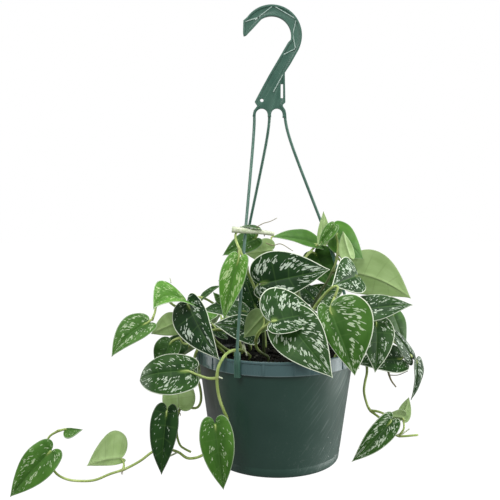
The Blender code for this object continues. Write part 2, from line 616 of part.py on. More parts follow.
# Each leafy stem: where it stands in the soil, as (right of the axis, toward), the places that it
# passes through on the sheet, and its leaves with the places that their stalks pass through
VINES = {
    "vine_front_left": {
        "root": (-26, 24),
        "stem": (
            (243, 350.5, 34), (236, 350, 46), (229, 352, 57), (223, 358, 69), (218.5, 367, 73),
            (217, 377, 73), (217.5, 388, 72), (220, 400, 69), (224, 411, 67), (227.5, 420, 65),
            (228, 436, 62), (220, 449, 59), (207, 453, 55), (197, 457.5, 50), (187, 458, 47),
            (178, 452, 45), (166, 449, 45), (154, 451, 47), (140, 461, 50), (125, 469, 52),
            (110, 474, 54), (95, 480, 56), (80, 481, 57), (66, 479, 58), (55, 472, 57),
            (49, 458, 54), (47, 443, 54), (50, 436, 56), (58, 431, 58),
        ),
        "leaves": (
            leaf((188, 371, 68), (140, 381, 42), (-0.45, 0.82, 0.35),
                 ((217, 377, 73), (209, 378.5, 73), (198, 375, 71)), width=0.66, fold=0.04,
                 arch=0.26, skew=0.12),
            leaf((215, 424, 76), (223.5, 490, 72), (0.05, 1, 0.05),
                 ((228, 440, 62), (219, 437, 65), (214.5, 431, 71)), width=0.51, fold=0.25),
            leaf((121, 458, 48), (87, 466, 78), (-0.55, -0.8, 0.1),
                 ((123, 469, 52), (124, 464, 48)), width=0.85, fold=0.1, arch=0.1,
                 skew=0.6),
            leaf((51, 451, 60), (10, 497, 64), (-0.1, 0.95, 0.25),
                 ((50, 460, 54), (52.5, 455, 56)), width=0.58, fold=0.2),
            leaf((66, 429, 58), (83, 429.5, 60), (0.1, 0.9, 0.4), (), width=0.6, skew=-0.8),
        ),
    },
    "vine_left_hang": {
        "root": (-50, 12),
        "stem": (
            (216, 345, 16), (207, 342, 22), (200, 346, 28), (194.5, 358, 32), (197, 375, 32),
            (200.5, 390, 32), (201, 400, 32), (198, 407, 32), (192, 408, 32), (186, 405, 32),
            (180, 409, 33), (177, 420, 35), (177, 435, 36), (180, 445, 36), (185, 449, 36),
            (191, 452, 36),
        ),
        "leaves": (
            leaf((179, 407, 34), (175, 366, 22), (0, -0.9, 0.4), ((181, 409, 33),), width=0.84,
                 fold=0.1),
            leaf((167, 411, 58), (161.5, 475, 58), (-0.15, 1, 0.05),
                 ((178.5, 414, 34), (173, 407, 46)), width=0.47, fold=0.35),
            leaf((194, 369, 40), (192, 391, 44), (-0.7, 0.7, 0.1), ((195.5, 364, 32),), width=0.7),
        ),
    },
    "vine_left_up": {
        "root": (-42, 2),
        "stem": (
            (226, 349, 8), (216, 341, 18), (208, 329, 26), (198, 317, 34), (188, 311, 40),
            (180, 309, 40), (172, 304, 35), (164, 298, 32), (157, 303, 34), (155, 312, 38),
            (152.5, 319, 42),
        ),
        "leaves": (
            leaf((147, 323, 44), (111.5, 357, 56), (-0.1, 0.9, 0.4), ((152.5, 319, 42),),
                 width=0.62, fold=0.15, skew=-0.12, bend=-0.07),
            leaf((184, 300, 44), (153, 309.5, 70), (-0.2, 0.75, 0.6), ((185, 309, 41),),
                 width=1.1, fold=0.25, arch=0.16, bend=-0.18),
            leaf((178, 322, 30), (151, 334, 28), (0.1, -0.95, 0.25),
                 ((206, 327, 27), (190, 343, 22), (182, 342, 26), (180, 332, 28)), width=0.85),
            leaf((171, 342, 22), (158, 373, 34), (-0.2, 0.8, 0.5),
                 ((180, 338, 27), (176, 339, 25)), width=0.85),
            leaf((188, 304, 50), (219.5, 360, 76), (-0.4, 0.9, 0.1),
                 ((188, 311, 40), (186, 307, 45)), width=0.6, fold=0.1, skew=-0.2),
        ),
    },
    "vine_mid_left": {
        "root": (-26, -16),
        "stem": (
            (246, 336, -12), (240, 324, -8), (230, 314, -4), (216, 305, 0), (206, 299, 2),
            (198, 297, 2), (190, 298, 0),
        ),
        "leaves": (
            leaf((202, 298, 4), (221, 285.5, 10), (0.2, 0.45, 0.9), (), width=0.6),
            leaf((246, 312, 0), (201, 311, 22), (0, 0.6, 0.8), ((236, 320, -5),), width=0.62),
            leaf((255, 333, 26), (213, 324, 34), (0, 0.72, 0.7), ((244, 330, -4), (256, 332, 14)),
                 width=0.78),
            leaf((256, 308, -20), (241, 268, -24), (-0.1, 0.85, 0.5), ((246, 332, -11),),
                 width=0.66),
        ),
    },
    "vine_top_left": {
        "root": (-12, 14),
        "stem": (
            (263, 325, 18), (260, 300, 24), (254, 286, 28), (248.5, 274, 38), (246.5, 264.5, 55),
            (242.5, 256, 58), (238.5, 247, 55), (235.5, 238, 50), (237, 232, 48), (246, 231, 46),
            (257, 231.5, 44), (267, 234, 42),
        ),
        "leaves": (
            leaf((259, 228.5, 44), (240, 227, 48), (0, 0.3, 1), ((263, 232, 43),), width=0.6),
            leaf((256, 238, 28), (222.5, 255.5, 26), (-0.1, 0.9, 0.4), ((257, 232, 44),),
                 width=0.62),
            leaf((272, 250, 14), (245.5, 254, 22), (0, -0.9, 0.2), ((256, 290, 26), (263, 270, 20)),
                 width=0.9),
            leaf((238.5, 260, 60), (224, 320, 64), (-0.3, 0.95, 0.1), ((239, 250, 54),),
                 width=0.46, fold=0.3),
            leaf((236, 262, 36), (218.5, 281, 32), (-0.2, 0.6, 0.7), ((247, 265, 50),),
                 width=0.3),
        ),
    },
    "vine_top_mid": {
        "root": (6, 10),
        "stem": (
            (283, 325, 12), (286, 300, 14), (292, 280, 12), (300, 264, 8), (310, 252, 4),
            (318, 244, 0),
        ),
        "leaves": (
            leaf((318, 245, -4), (271.5, 237, 8), (0, 0.55, 0.85), (), width=0.56, fold=0.1,
                 skew=-0.35),
            leaf((321.5, 242, 7), (323.5, 211, 5), (0.25, -0.95, 0.1), (), width=0.42, fold=0.2,
                 skew=0.2),
            leaf((315, 253, -14), (333, 288, -12), (0.1, 0.97, 0.2), ((308, 254, 5), (309, 252, -6)),
                 width=0.86),
            leaf((261, 284, 46), (330, 269.5, 44), (-0.05, 0.98, 0.15),
                 ((288, 296, 14), (268, 302, 30), (260, 293, 42)), width=0.68, skew=0.25),
        ),
    },
    "vine_centre": {
        "root": (-8, 30),
        "stem": (
            (258, 350, 36), (256, 342, 44), (257.5, 334, 54), (263, 328, 65), (269, 324, 74),
        ),
        "leaves": (
            leaf((272, 321.5, 80), (318, 314, 46), (-0.5, 0.8, 0.2), (), width=0.82, skew=0.35),
            leaf((263, 316, 46), (243.5, 338, 44), (0.3, -0.9, 0.3), ((257, 338, 48), (264, 324, 46)),
                 width=0.85),
            leaf((286, 320, 60), (333, 378, 94), (-0.25, 0.85, 0.45), ((262, 329, 62), (276, 318, 60)),
                 width=0.7),
        ),
    },
    "vine_front_right": {
        "root": (22, 26),
        "stem": (
            (300, 338, 28), (308, 318, 34), (319, 301, 46), (330, 289, 58), (337.5, 286, 64),
            (337, 291, 64), (334.5, 297, 62),
        ),
        "leaves": (
            leaf((330, 309, 68), (355, 376, 75), (0, 0.98, 0.15), ((333, 303, 61),), width=0.76,
                 skew=0.42),
        ),
    },
    "vine_crown": {
        "root": (8, -34),
        "stem": ((288, 322, -30), (292, 306, -24), (298, 292, -24), (302, 282, -28)),
        "leaves": (
            leaf((302, 276, -30), (330, 276, -66), (0.2, -0.2, 1), (), width=0.72),
            leaf((284, 284, -28), (262, 282, -66), (-0.2, -0.2, 1), ((294, 300, -24),), width=0.7),
            leaf((293, 306, -10), (302, 322, 6), (0.1, 0.5, 0.9), ((293, 304, -24),), width=0.72),
            leaf((276, 304, -34), (250, 312, -48), (-0.3, -0.3, 0.9), ((289, 318, -29),), width=0.66),
            leaf((312, 300, -26), (344, 290, -40), (0.1, 0.75, 0.65), ((291, 311, -26),), width=0.8),
        ),
    },
    "vine_right_top": {
        "root": (30, -4),
        "stem": (
            (306, 325, 0), (316, 300, 4), (328, 280, 8), (336, 262, 8), (338, 246, 6),
            (335, 232, 4), (331, 222, 2),
        ),
        "leaves": (
            leaf((357, 276, 22), (331.5, 286, 50), (0.7, 0.5, 0.5), ((332, 273, 9), (346, 268, 16)),
                 width=0.96, skew=-0.1),
            leaf((350, 272, -18), (411, 298.5, -14), (0, -0.97, 0.2), ((337, 258, 7), (343, 264, -8)),
                 width=0.74, arch=0.08, skew=-0.1, bend=-0.06),
            leaf((335, 232, -2), (363, 259, -14), (0.2, 0.85, 0.45), (), width=0.85, fold=-0.1),
            leaf((350, 257, 6), (343, 231, 12), (-0.4, -0.9, 0.1), ((338, 254, 7), (346, 262, 6)),
                 width=0.6, skew=-0.15),
        ),
    },
    "vine_right": {
        "root": (48, 10),
        "stem": (
            (334, 330, 12), (348, 316, 18), (362, 316, 20), (378, 328, 16), (392, 340, 14),
            (404, 350, 14), (415, 359, 16),
        ),
        "leaves": (
            leaf((356, 312, 30), (413, 305, 34), (0, 0.72, 0.7), ((354, 317, 20),), width=0.6),
            leaf((371, 304, 6), (392, 298, -8), (0, 0.5, 0.87), ((366, 317, 19),), width=0.66),
            leaf((392, 312, 2), (404, 352, 6), (0.6, 0.75, 0.2), ((384, 333, 15), (388, 318, 6)),
                 width=0.6),
            leaf((376, 322, 36), (375, 373, 48), (0.3, 0.9, 0.3), ((378, 328, 17),), width=0.75),
            leaf((401, 359, 15), (356, 364, 30), (0, 0.75, 0.65), ((408, 353, 14),), width=0.66),
            leaf((412, 357, 22), (384, 322, 36), (0.4, 0.85, 0.35), (), width=0.32, skew=0.3),
            leaf((416.5, 361, 20), (411, 400, 22), (0.75, 0.65, 0.1), (), width=0.5, fold=0.3),
        ),
    },
    "vine_right_low": {
        "root": (58, 18),
        "stem": (
            (344, 340, 20), (354, 340, 20), (362, 350, 20), (366, 362, 20), (367, 372, 20),
            (365, 382, 22), (364, 391, 24), (366, 401, 26), (370, 410, 28), (381, 419, 28),
            (390, 430, 26), (399, 436, 24), (418, 435, 20),
        ),
        "leaves": (
            leaf((391, 421, 40), (351.5, 462, 42), (0.1, 0.98, 0.15),
                 ((370.5, 410.5, 28), (378, 411.5, 32), (386, 415, 37)), width=0.45, fold=0.2),
            leaf((403, 419, 22), (409, 397, 20), (0.2, -0.9, 0.3), ((398, 436, 24), (404, 428, 23)),
                 width=0.6),
            leaf((402, 417, 24), (384, 417, 34), (0, -0.85, 0.5), ((404, 422, 23),), width=0.8),
        ),
    },
}

# The stems round the back and sides: angle from the front, height of their arch over the soil,
# height where they end, and where along them their leaves grow
HIDDEN_VINES = {
    "vine_back_right": (148.0, 34.0, -352.0, (0.12, 0.38, 0.66, 0.94)),
    "vine_back_1": (172.0, 46.0, -424.0, (0.12, 0.36, 0.58, 0.78, 1.0)),
    "vine_back_2": (196.0, 30.0, -366.0, (0.14, 0.42, 0.72, 1.0)),
    "vine_back_3": (228.0, 34.0, -370.0, (0.34, 0.56, 0.78, 1.0)),
    "vine_back_left": (262.0, 24.0, -346.0, (0.2, 0.5, 0.8)),
}
SEED = 7


def hidden_vine(name, angle, rise, end, shares):
    """A stem that arches over the rim and hangs, with leaves to alternate sides of it."""
    draw = random.Random(f"{name} {SEED}")
    root = around_pot(angle, 34.0, 0)
    root.z = soil_height(root.x, root.y)
    course = [(40.0, root.z + rise * 0.7), (56.0, root.z + rise), (76.0, root.z + rise * 0.8),
              (90.0, root.z + rise * 0.2)]
    drop = course[-1][1] - end
    course += [(95.0, end + drop * 0.66), (97.0, end + drop * 0.33), (98.0, end)]
    lean = draw.uniform(-4, 4)
    stem = [around_pot(angle + lean * i / 6, r, z) for i, (r, z) in enumerate(course)]
    path = smooth_path(stem, 4)
    leaves = []
    for i, share in enumerate(shares):
        node = path[round(share * (len(path) - 1))]
        hand = 1 if i % 2 else -1
        outward = (node - Vector((POT_AXIS_X, 0, node.z))).normalized()
        beside = Vector((0, 0, 1)).cross(outward) * hand
        down = 0.25 + 0.75 * share
        heading = (beside * draw.uniform(0.35, 0.65) + outward * (1 - down) * 1.2
                   - Vector((0, 0, 1)) * down + outward * 0.16).normalized()
        base = node + beside * 7 + outward * 9 + Vector((0, 0, 8 if share < 0.5 else 2))
        size = draw.uniform(42, 56)
        face = (outward + Vector((0, 0, 1)) * (1.0 - 0.6 * share)).normalized()
        face = (face - heading * face.dot(heading)).normalized()
        leaves.append({
            "base": base, "tip": base + heading * size, "face": face,
            "stalk": [node, node + beside * 4 + outward * 6 + Vector((0, 0, 6))],
            "form": {"width": draw.uniform(0.62, 0.74), "fold": draw.uniform(0.1, 0.25)},
        })
    return root, stem, leaves


def seen_vine(spec):
    """A stem of the table, with its places turned from the sheet into millimetres."""
    right, toward = spec["root"]
    root = Vector((POT_AXIS_X + right, -toward, 0))
    root.z = soil_height(root.x, root.y)
    stem = [sight(*place) for place in spec["stem"]]
    leaves = []
    for one in spec["leaves"]:
        right, toward, up = one["face"]
        leaves.append({
            "base": sight(*one["base"]), "tip": sight(*one["tip"]),
            "face": Vector((right, -toward, up)).normalized(),
            "stalk": [sight(*place) for place in one["stalk"]],
            "form": one["form"],
        })
    return root, stem, leaves


def all_vines():
    found = {name: seen_vine(spec) for name, spec in VINES.items()}
    for name, spec in HIDDEN_VINES.items():
        found[name] = hidden_vine(name, *spec)
    return found


def nearest(place, paths):
    return min((point for path in paths for point in path), key=lambda p: (p - place).length)


def make_vine(name, root, stem, leaves):
    """A stem with its stalks and blades, fused into one body."""
    look = material("leafy_stem", (0.045, 0.12, 0.04), 0.45)
    foot = root - Vector((0, 0, ROOT_DEPTH))
    collar = root + Vector((0, 0, ROOT_RISE))
    path = [foot] + spaced_path([collar] + stem, STEM_STEP)
    radii = [STEM_RADIUS * (1 - 0.3 * i / len(path)) for i in range(len(path))]
    body = tube(name, path, radii, STEM_SIDES, look)
    paths = [spaced_path([collar] + stem, 2.0)]
    pieces = []
    for i, one in enumerate(leaves):
        blade = Leaf(one["base"], one["tip"], one["face"], phase=PHASE_STEP * i, **one["form"])
        stalk = list(one["stalk"]) or [nearest(one["base"], paths)]
        stalk[0] = nearest(stalk[0], paths)
        sunk = blade.surface(0.09, 0.0)
        route = spaced_path(stalk + [one["base"], sunk], STALK_STEP)
        paths.append(smooth_path(route, 3))
        radii = [STALK_RADIUS] * (len(route) - 2) + [0.9, 0.5]
        pieces.append(tube(f"{name}_stalk_{i}", route, radii, STALK_SIDES, look))
        pieces.append(blade.blade(f"{name}_blade_{i}", BLADE_ROWS, 1, look))
    join_by_union(body, pieces, "MANIFOLD")
    keep_largest_body(body)
    return body


def main():
    clear_scene()
    vines = all_vines()
    make_pot()
    make_soil([root for root, stem, leaves in vines.values()])
    make_hanger()
    for name, (root, stem, leaves) in vines.items():
        make_vine(name, root, stem, leaves)


main()
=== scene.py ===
"""Looks of the satin pothos in its plastic hanging pot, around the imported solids.

Lengths are in millimetres up to Shape.build, which turns them into metres. The leaves, stems, pot,
soil and hanger follow the same places and forms as the solids that they stand for, with finer
meshes. The origin is the inside top of the hook, and the front of the pot is -Y.
"""
import math
import random

import bmesh
import bpy
from mathutils import Matrix, Vector, noise


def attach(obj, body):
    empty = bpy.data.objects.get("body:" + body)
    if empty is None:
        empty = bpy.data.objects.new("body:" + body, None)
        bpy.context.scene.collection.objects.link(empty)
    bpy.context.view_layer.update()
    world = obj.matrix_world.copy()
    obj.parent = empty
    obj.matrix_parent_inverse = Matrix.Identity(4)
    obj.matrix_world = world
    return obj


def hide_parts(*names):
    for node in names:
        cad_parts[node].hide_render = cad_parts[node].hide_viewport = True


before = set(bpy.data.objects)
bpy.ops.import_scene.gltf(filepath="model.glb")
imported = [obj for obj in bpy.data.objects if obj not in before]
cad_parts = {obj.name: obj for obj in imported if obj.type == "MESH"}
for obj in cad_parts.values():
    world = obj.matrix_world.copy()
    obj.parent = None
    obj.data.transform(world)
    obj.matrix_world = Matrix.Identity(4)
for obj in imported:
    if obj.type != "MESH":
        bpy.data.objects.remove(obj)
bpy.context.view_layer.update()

# The pot
POT_AXIS_X = 5.1
POT_BOTTOM_Z = -438.9
POT_FOOT_RADIUS = 63.4
POT_NECK_RADIUS = 77.2
POT_BAND_RADIUS = 79.7
BAND_BOTTOM_Z = -339.6
BAND_TOP_Z = -326.1
POT_WALL = 1.7
FOOT_ROUND = 3.0
LIP_HEIGHT = 2.0
LIP_OVERHANG = 0.8
BAND_RIBS = 18
RIB_WIDTH = 1.8
RIB_PROUD = 0.7
DRAIN_HOLES = 6
DRAIN_RING_RADIUS = 42.0
DRAIN_RADIUS = 4.0
POT_SIDES = 144

# The soil
SOIL_GAP = 0.3
SOIL_EDGE_DROP = 9.0
SOIL_MOUND = 5.0
SOIL_LUMPS = 0.9
SOIL_SIDES = 120
SOIL_RINGS = 40
SOIL_CRUMBS = 520
ROOT_DEPTH = 10.0
ROOT_RISE = 4.0

# The hanger
PLATE_THICKNESS = 4.6
WEB_THICKNESS = 2.6
HOOK_CENTRE = (0.5, -19.2)
HOOK_OUTER = 29.79
HOOK_INNER = 19.2
STRAND_RADIUS = 1.75
STRAND_LOOK_RADIUS = 1.45
CLIP_ANGLES = (-27.0, 93.0, 213.0)
CLIP_LOOK_WIDTH = 5.4
CLIP_HEIGHT = 23.0
CLIP_DEPTH = 2.4
CLIP_TOOTH = 1.5

# The eye from which the plant was laid out
EYE = Vector((-20.7, -676.0, -191.2))
EYE_TILT = math.radians(3.3)
SHEET_DISTANCE = 676.0
SHEET_MIDDLE = 250.0

# Stems and blades
STEM_RADIUS = 1.5
STALK_RADIUS = 1.1
STALK_STEP = 12.0
FINE_STEP = 2.5
BLADE_THICKNESS = 0.66
EDGE_THICKNESS = 0.3
BLADE_ROWS = 60
COLUMNS = (0.0, 0.03, 0.07, 0.13, 0.22, 0.34, 0.47, 0.6, 0.73, 0.85, 0.94, 0.98, 1.0)
SIDE_VEINS = 8
FLECK_ROWS = 54.0
FLECK_COLUMNS = 8.2
FLECK_STRETCH = 4.0
FLECK_SLANT = 10.0
QUILT_HEIGHT = 0.32
MIDRIB_GROOVE = 0.45
MIDRIB_RIDGE = 0.5
MIDRIB_WIDTH = 0.9

MM = 0.001


def sight(right, down, toward):
    """The point, in millimetres, that the eye sees at this place on the sheet."""
    across = (right - SHEET_MIDDLE) / SHEET_DISTANCE
    above = (SHEET_MIDDLE - down) / SHEET_DISTANCE
    ray = Vector((
        across,
        math.cos(EYE_TILT) + above * math.sin(EYE_TILT),
        above * math.cos(EYE_TILT) - math.sin(EYE_TILT),
    ))
    return EYE + ray * ((-toward - EYE.y) / ray.y)


def ease(low, high, value):
    """0 below low, 1 above high, and smooth between."""
    share = min(1.0, max(0.0, (value - low) / (high - low)))
    return share * share * (3 - 2 * share)


class Shape:
    """Gathers points and faces, in millimetres, for one piece."""

    def __init__(self):
        self.points = []
        self.faces = []
        self.slots = []
        self.places = []
        self.marks = {}

    def add(self, points, faces, slot=0, places=None, marks=None):
        """Adds faces on new points. places gives each face corner's own pair of numbers."""
        start = len(self.points)
        self.points += points
        self.faces += [tuple(i + start for i in face) for face in faces]
        self.slots += [slot] * len(faces)
        self.places += places or [((0.0, 0.0),) * len(face) for face in faces]
        for name, values in (marks or {}).items():
            known = self.marks.setdefault(name, [])
            known += [0.0] * (start - len(known)) + values

    def build(self, name, looks, smooth=True):
        mesh = bpy.data.meshes.new(name)
        mesh.from_pydata([Vector(p) * MM for p in self.points], [], self.faces)
        for look in looks:
            mesh.materials.append(look)
        mesh.polygons.foreach_set("material_index", self.slots)
        mesh.polygons.foreach_set("use_smooth", [smooth] * len(self.faces))
        layer = mesh.uv_layers.new(name="leaf_place")
        flat = [number for face in self.places for place in face for number in place]
        layer.data.foreach_set("uv", flat)
        for mark, values in self.marks.items():
            values += [0.0] * (len(self.points) - len(values))
            mesh.attributes.new(mark, "FLOAT", "POINT").data.foreach_set("value", values)
        made = bpy.data.objects.new(name, mesh)
        bpy.context.scene.collection.objects.link(made)
        return made


def face_outward(target):
    work = bmesh.new()
    work.from_mesh(target.data)
    bmesh.ops.recalc_face_normals(work, faces=work.faces)
    work.to_mesh(target.data)
    work.free()


def apply_modifiers(target):
    graph = bpy.context.evaluated_depsgraph_get()
    mesh = bpy.data.meshes.new_from_object(target.evaluated_get(graph))
    target.modifiers.clear()
    target.data = mesh


def boolean(target, pieces, operation):
    """One Boolean of the target with all the pieces, which are removed."""
    group = bpy.data.collections.new(target.name + "_pieces")
    for piece in pieces:
        bpy.context.scene.collection.objects.unlink(piece)
        group.objects.link(piece)
    bpy.context.scene.collection.children.link(group)
    step = target.modifiers.new("boolean", "BOOLEAN")
    step.operation = operation
    step.operand_type = "COLLECTION"
    step.collection = group
    step.solver = "EXACT"
    apply_modifiers(target)
    for piece in pieces:
        bpy.data.objects.remove(piece, do_unlink=True)
    bpy.data.collections.remove(group)


def bevel(target, width, segments, angle):
    step = target.modifiers.new("bevel", "BEVEL")
    step.width = width * MM
    step.segments = segments
    step.limit_method = "ANGLE"
    step.angle_limit = math.radians(angle)
    step.harden_normals = False
    apply_modifiers(target)


def smooth_by_angle(target, angle):
    for polygon in target.data.polygons:
        polygon.use_smooth = True
    target.data.set_sharp_from_angle(angle=math.radians(angle))


def smooth_path(points, steps):
    """A Catmull-Rom curve through the points, with the given steps between neighbours."""
    if len(points) < 3:
        return [points[0].lerp(points[-1], i / steps) for i in range(steps + 1)]
    ends = [points[0] * 2 - points[1], *points, points[-1] * 2 - points[-2]]
    curve = []
    for a, b, c, d in zip(ends, ends[1:], ends[2:], ends[3:]):
        for i in range(steps):
            t = i / steps
            curve.append(0.5 * (
                2 * b + (c - a) * t + (2 * a - 5 * b + 4 * c - d) * t * t
                + (3 * b - a - 3 * c + d) * t * t * t
            ))
    curve.append(points[-1])
    return curve


def spaced_path(points, spacing):
    """The smooth curve through the points, read off at about equal distances."""
    fine = smooth_path(points, 12)
    reach = [0.0]
    for a, b in zip(fine, fine[1:]):
        reach.append(reach[-1] + (b - a).length)
    count = max(2, round(reach[-1] / spacing))
    path = []
    k = 0
    for i in range(count + 1):
        goal = reach[-1] * i / count
        while k < len(fine) - 2 and reach[k + 1] < goal:
            k += 1
        part = (goal - reach[k]) / max(1e-9, reach[k + 1] - reach[k])
        path.append(fine[k].lerp(fine[k + 1], min(1.0, part)))
    return path


def tube(path, radii, sides, flatten=None):
    """The points and faces of a closed tube; flatten scales one direction of its section."""
    points = []
    faces = []
    previous = None
    for i, point in enumerate(path):
        before = path[max(0, i - 1)]
        after = path[min(len(path) - 1, i + 1)]
        heading = (after - before).normalized()
        if previous is None:
            helper = Vector((1, 0, 0)) if abs(heading.x) < 0.8 else Vector((0, 1, 0))
            previous = heading.cross(helper).normalized()
        side = (previous - heading * previous.dot(heading)).normalized()
        other = heading.cross(side)
        previous = side
        for k in range(sides):
            turn = 2 * math.pi * k / sides
            across = side * math.cos(turn) * radii[i]
            points.append(point + across + other * math.sin(turn) * radii[i] * (flatten or 1.0))
    for i in range(len(path) - 1):
        for k in range(sides):
            here = i * sides + k
            beside = i * sides + (k + 1) % sides
            faces.append((here, beside, beside + sides, here + sides))
    faces.append(tuple(reversed(range(sides))))
    faces.append(tuple(range((len(path) - 1) * sides, len(path) * sides)))
    return points, faces


# Materials

class Look:
    """A material whose nodes are made in the order in which they are written."""

    def __init__(self, name, roughness=0.5):
        self.material = bpy.data.materials.new(name)
        self.material.use_nodes = True
        self.tree = self.material.node_tree
        self.shader = self.tree.nodes["Principled BSDF"]
        self.set("Roughness", roughness)

    def feed(self, socket, value):
        if isinstance(value, bpy.types.NodeSocket):
            self.tree.links.new(value, socket)
        elif isinstance(value, tuple) and len(value) == 3 and socket.type == "RGBA":
            socket.default_value = (*value, 1.0)
        else:
            socket.default_value = value

    def set(self, name, value):
        self.feed(self.shader.inputs[name], value)

    def node(self, kind, inputs=None, **settings):
        made = self.tree.nodes.new(kind)
        for name, value in settings.items():
            setattr(made, name, value)
        for name, value in (inputs or {}).items():
            self.feed(made.inputs[name], value)
        return made

    def math(self, operation, *values):
        made = self.node("ShaderNodeMath", operation=operation)
        for i, value in enumerate(values):
            self.feed(made.inputs[i], value)
        return made.outputs[0]

    def step(self, value, low, high, start=0.0, end=1.0):
        """From start at low to end at high, smoothly."""
        made = self.node("ShaderNodeMapRange", interpolation_type="SMOOTHSTEP")
        for name, number in (
            ("Value", value), ("From Min", low), ("From Max", high),
            ("To Min", start), ("To Max", end),
        ):
            self.feed(made.inputs[name], number)
        return made.outputs[0]

    def mix(self, share, first, second):
        made = self.node("ShaderNodeMix", data_type="RGBA")
        self.feed(made.inputs[0], share)
        self.feed(made.inputs[6], first)
        self.feed(made.inputs[7], second)
        return made.outputs[2]

    def mark(self, name):
        return self.node("ShaderNodeAttribute", attribute_name=name).outputs["Fac"]

    def vector(self, x, y, z):
        return self.node("ShaderNodeCombineXYZ", {"X": x, "Y": y, "Z": z}).outputs[0]

    def noise(self, where, scale, detail=2.0, roughness=0.5, distortion=0.0):
        inputs = {
            "Vector": where, "Scale": scale, "Detail": detail, "Roughness": roughness,
            "Distortion": distortion,
        }
        return self.node("ShaderNodeTexNoise", inputs)

    def place(self):
        """The point's place on the object, in metres."""
        return self.node("ShaderNodeNewGeometry").outputs["Position"]

    def stretch(self, where, x, y, z):
        made = self.node("ShaderNodeVectorMath", operation="MULTIPLY")
        self.feed(made.inputs[0], where)
        made.inputs[1].default_value = (x, y, z)
        return made.outputs[0]

    def bump(self, height, strength, distance, under=None):
        inputs = {"Height": height, "Strength": strength, "Distance": distance}
        if under is not None:
            inputs["Normal"] = under
        return self.node("ShaderNodeBump", inputs).outputs[0]


def leaf_coordinates(look):
    """The place along the margin, the share of the way out to it, and the side."""
    uv = look.node("ShaderNodeUVMap", uv_map="leaf_place").outputs[0]
    split = look.node("ShaderNodeSeparateXYZ", {"Vector": uv})
    along = split.outputs["X"]
    centred = look.math("MULTIPLY_ADD", split.outputs["Y"], 2.0, -1.0)
    out = look.math("ABSOLUTE", centred)
    side = look.math("GREATER_THAN", centred, 0.0)
    return along, out, side


def vein_lines(look, along, out, width):
    """1 on the side veins, fading outward."""
    phase = look.math("FRACT", look.math("MULTIPLY_ADD", along, float(SIDE_VEINS), 0.5))
    off = look.math("ABSOLUTE", look.math("SUBTRACT", phase, 0.5))
    line = look.step(off, 0.0, width, 1.0, 0.0)
    return look.math("MULTIPLY", line, look.step(out, 0.5, 1.0, 1.0, 0.15))


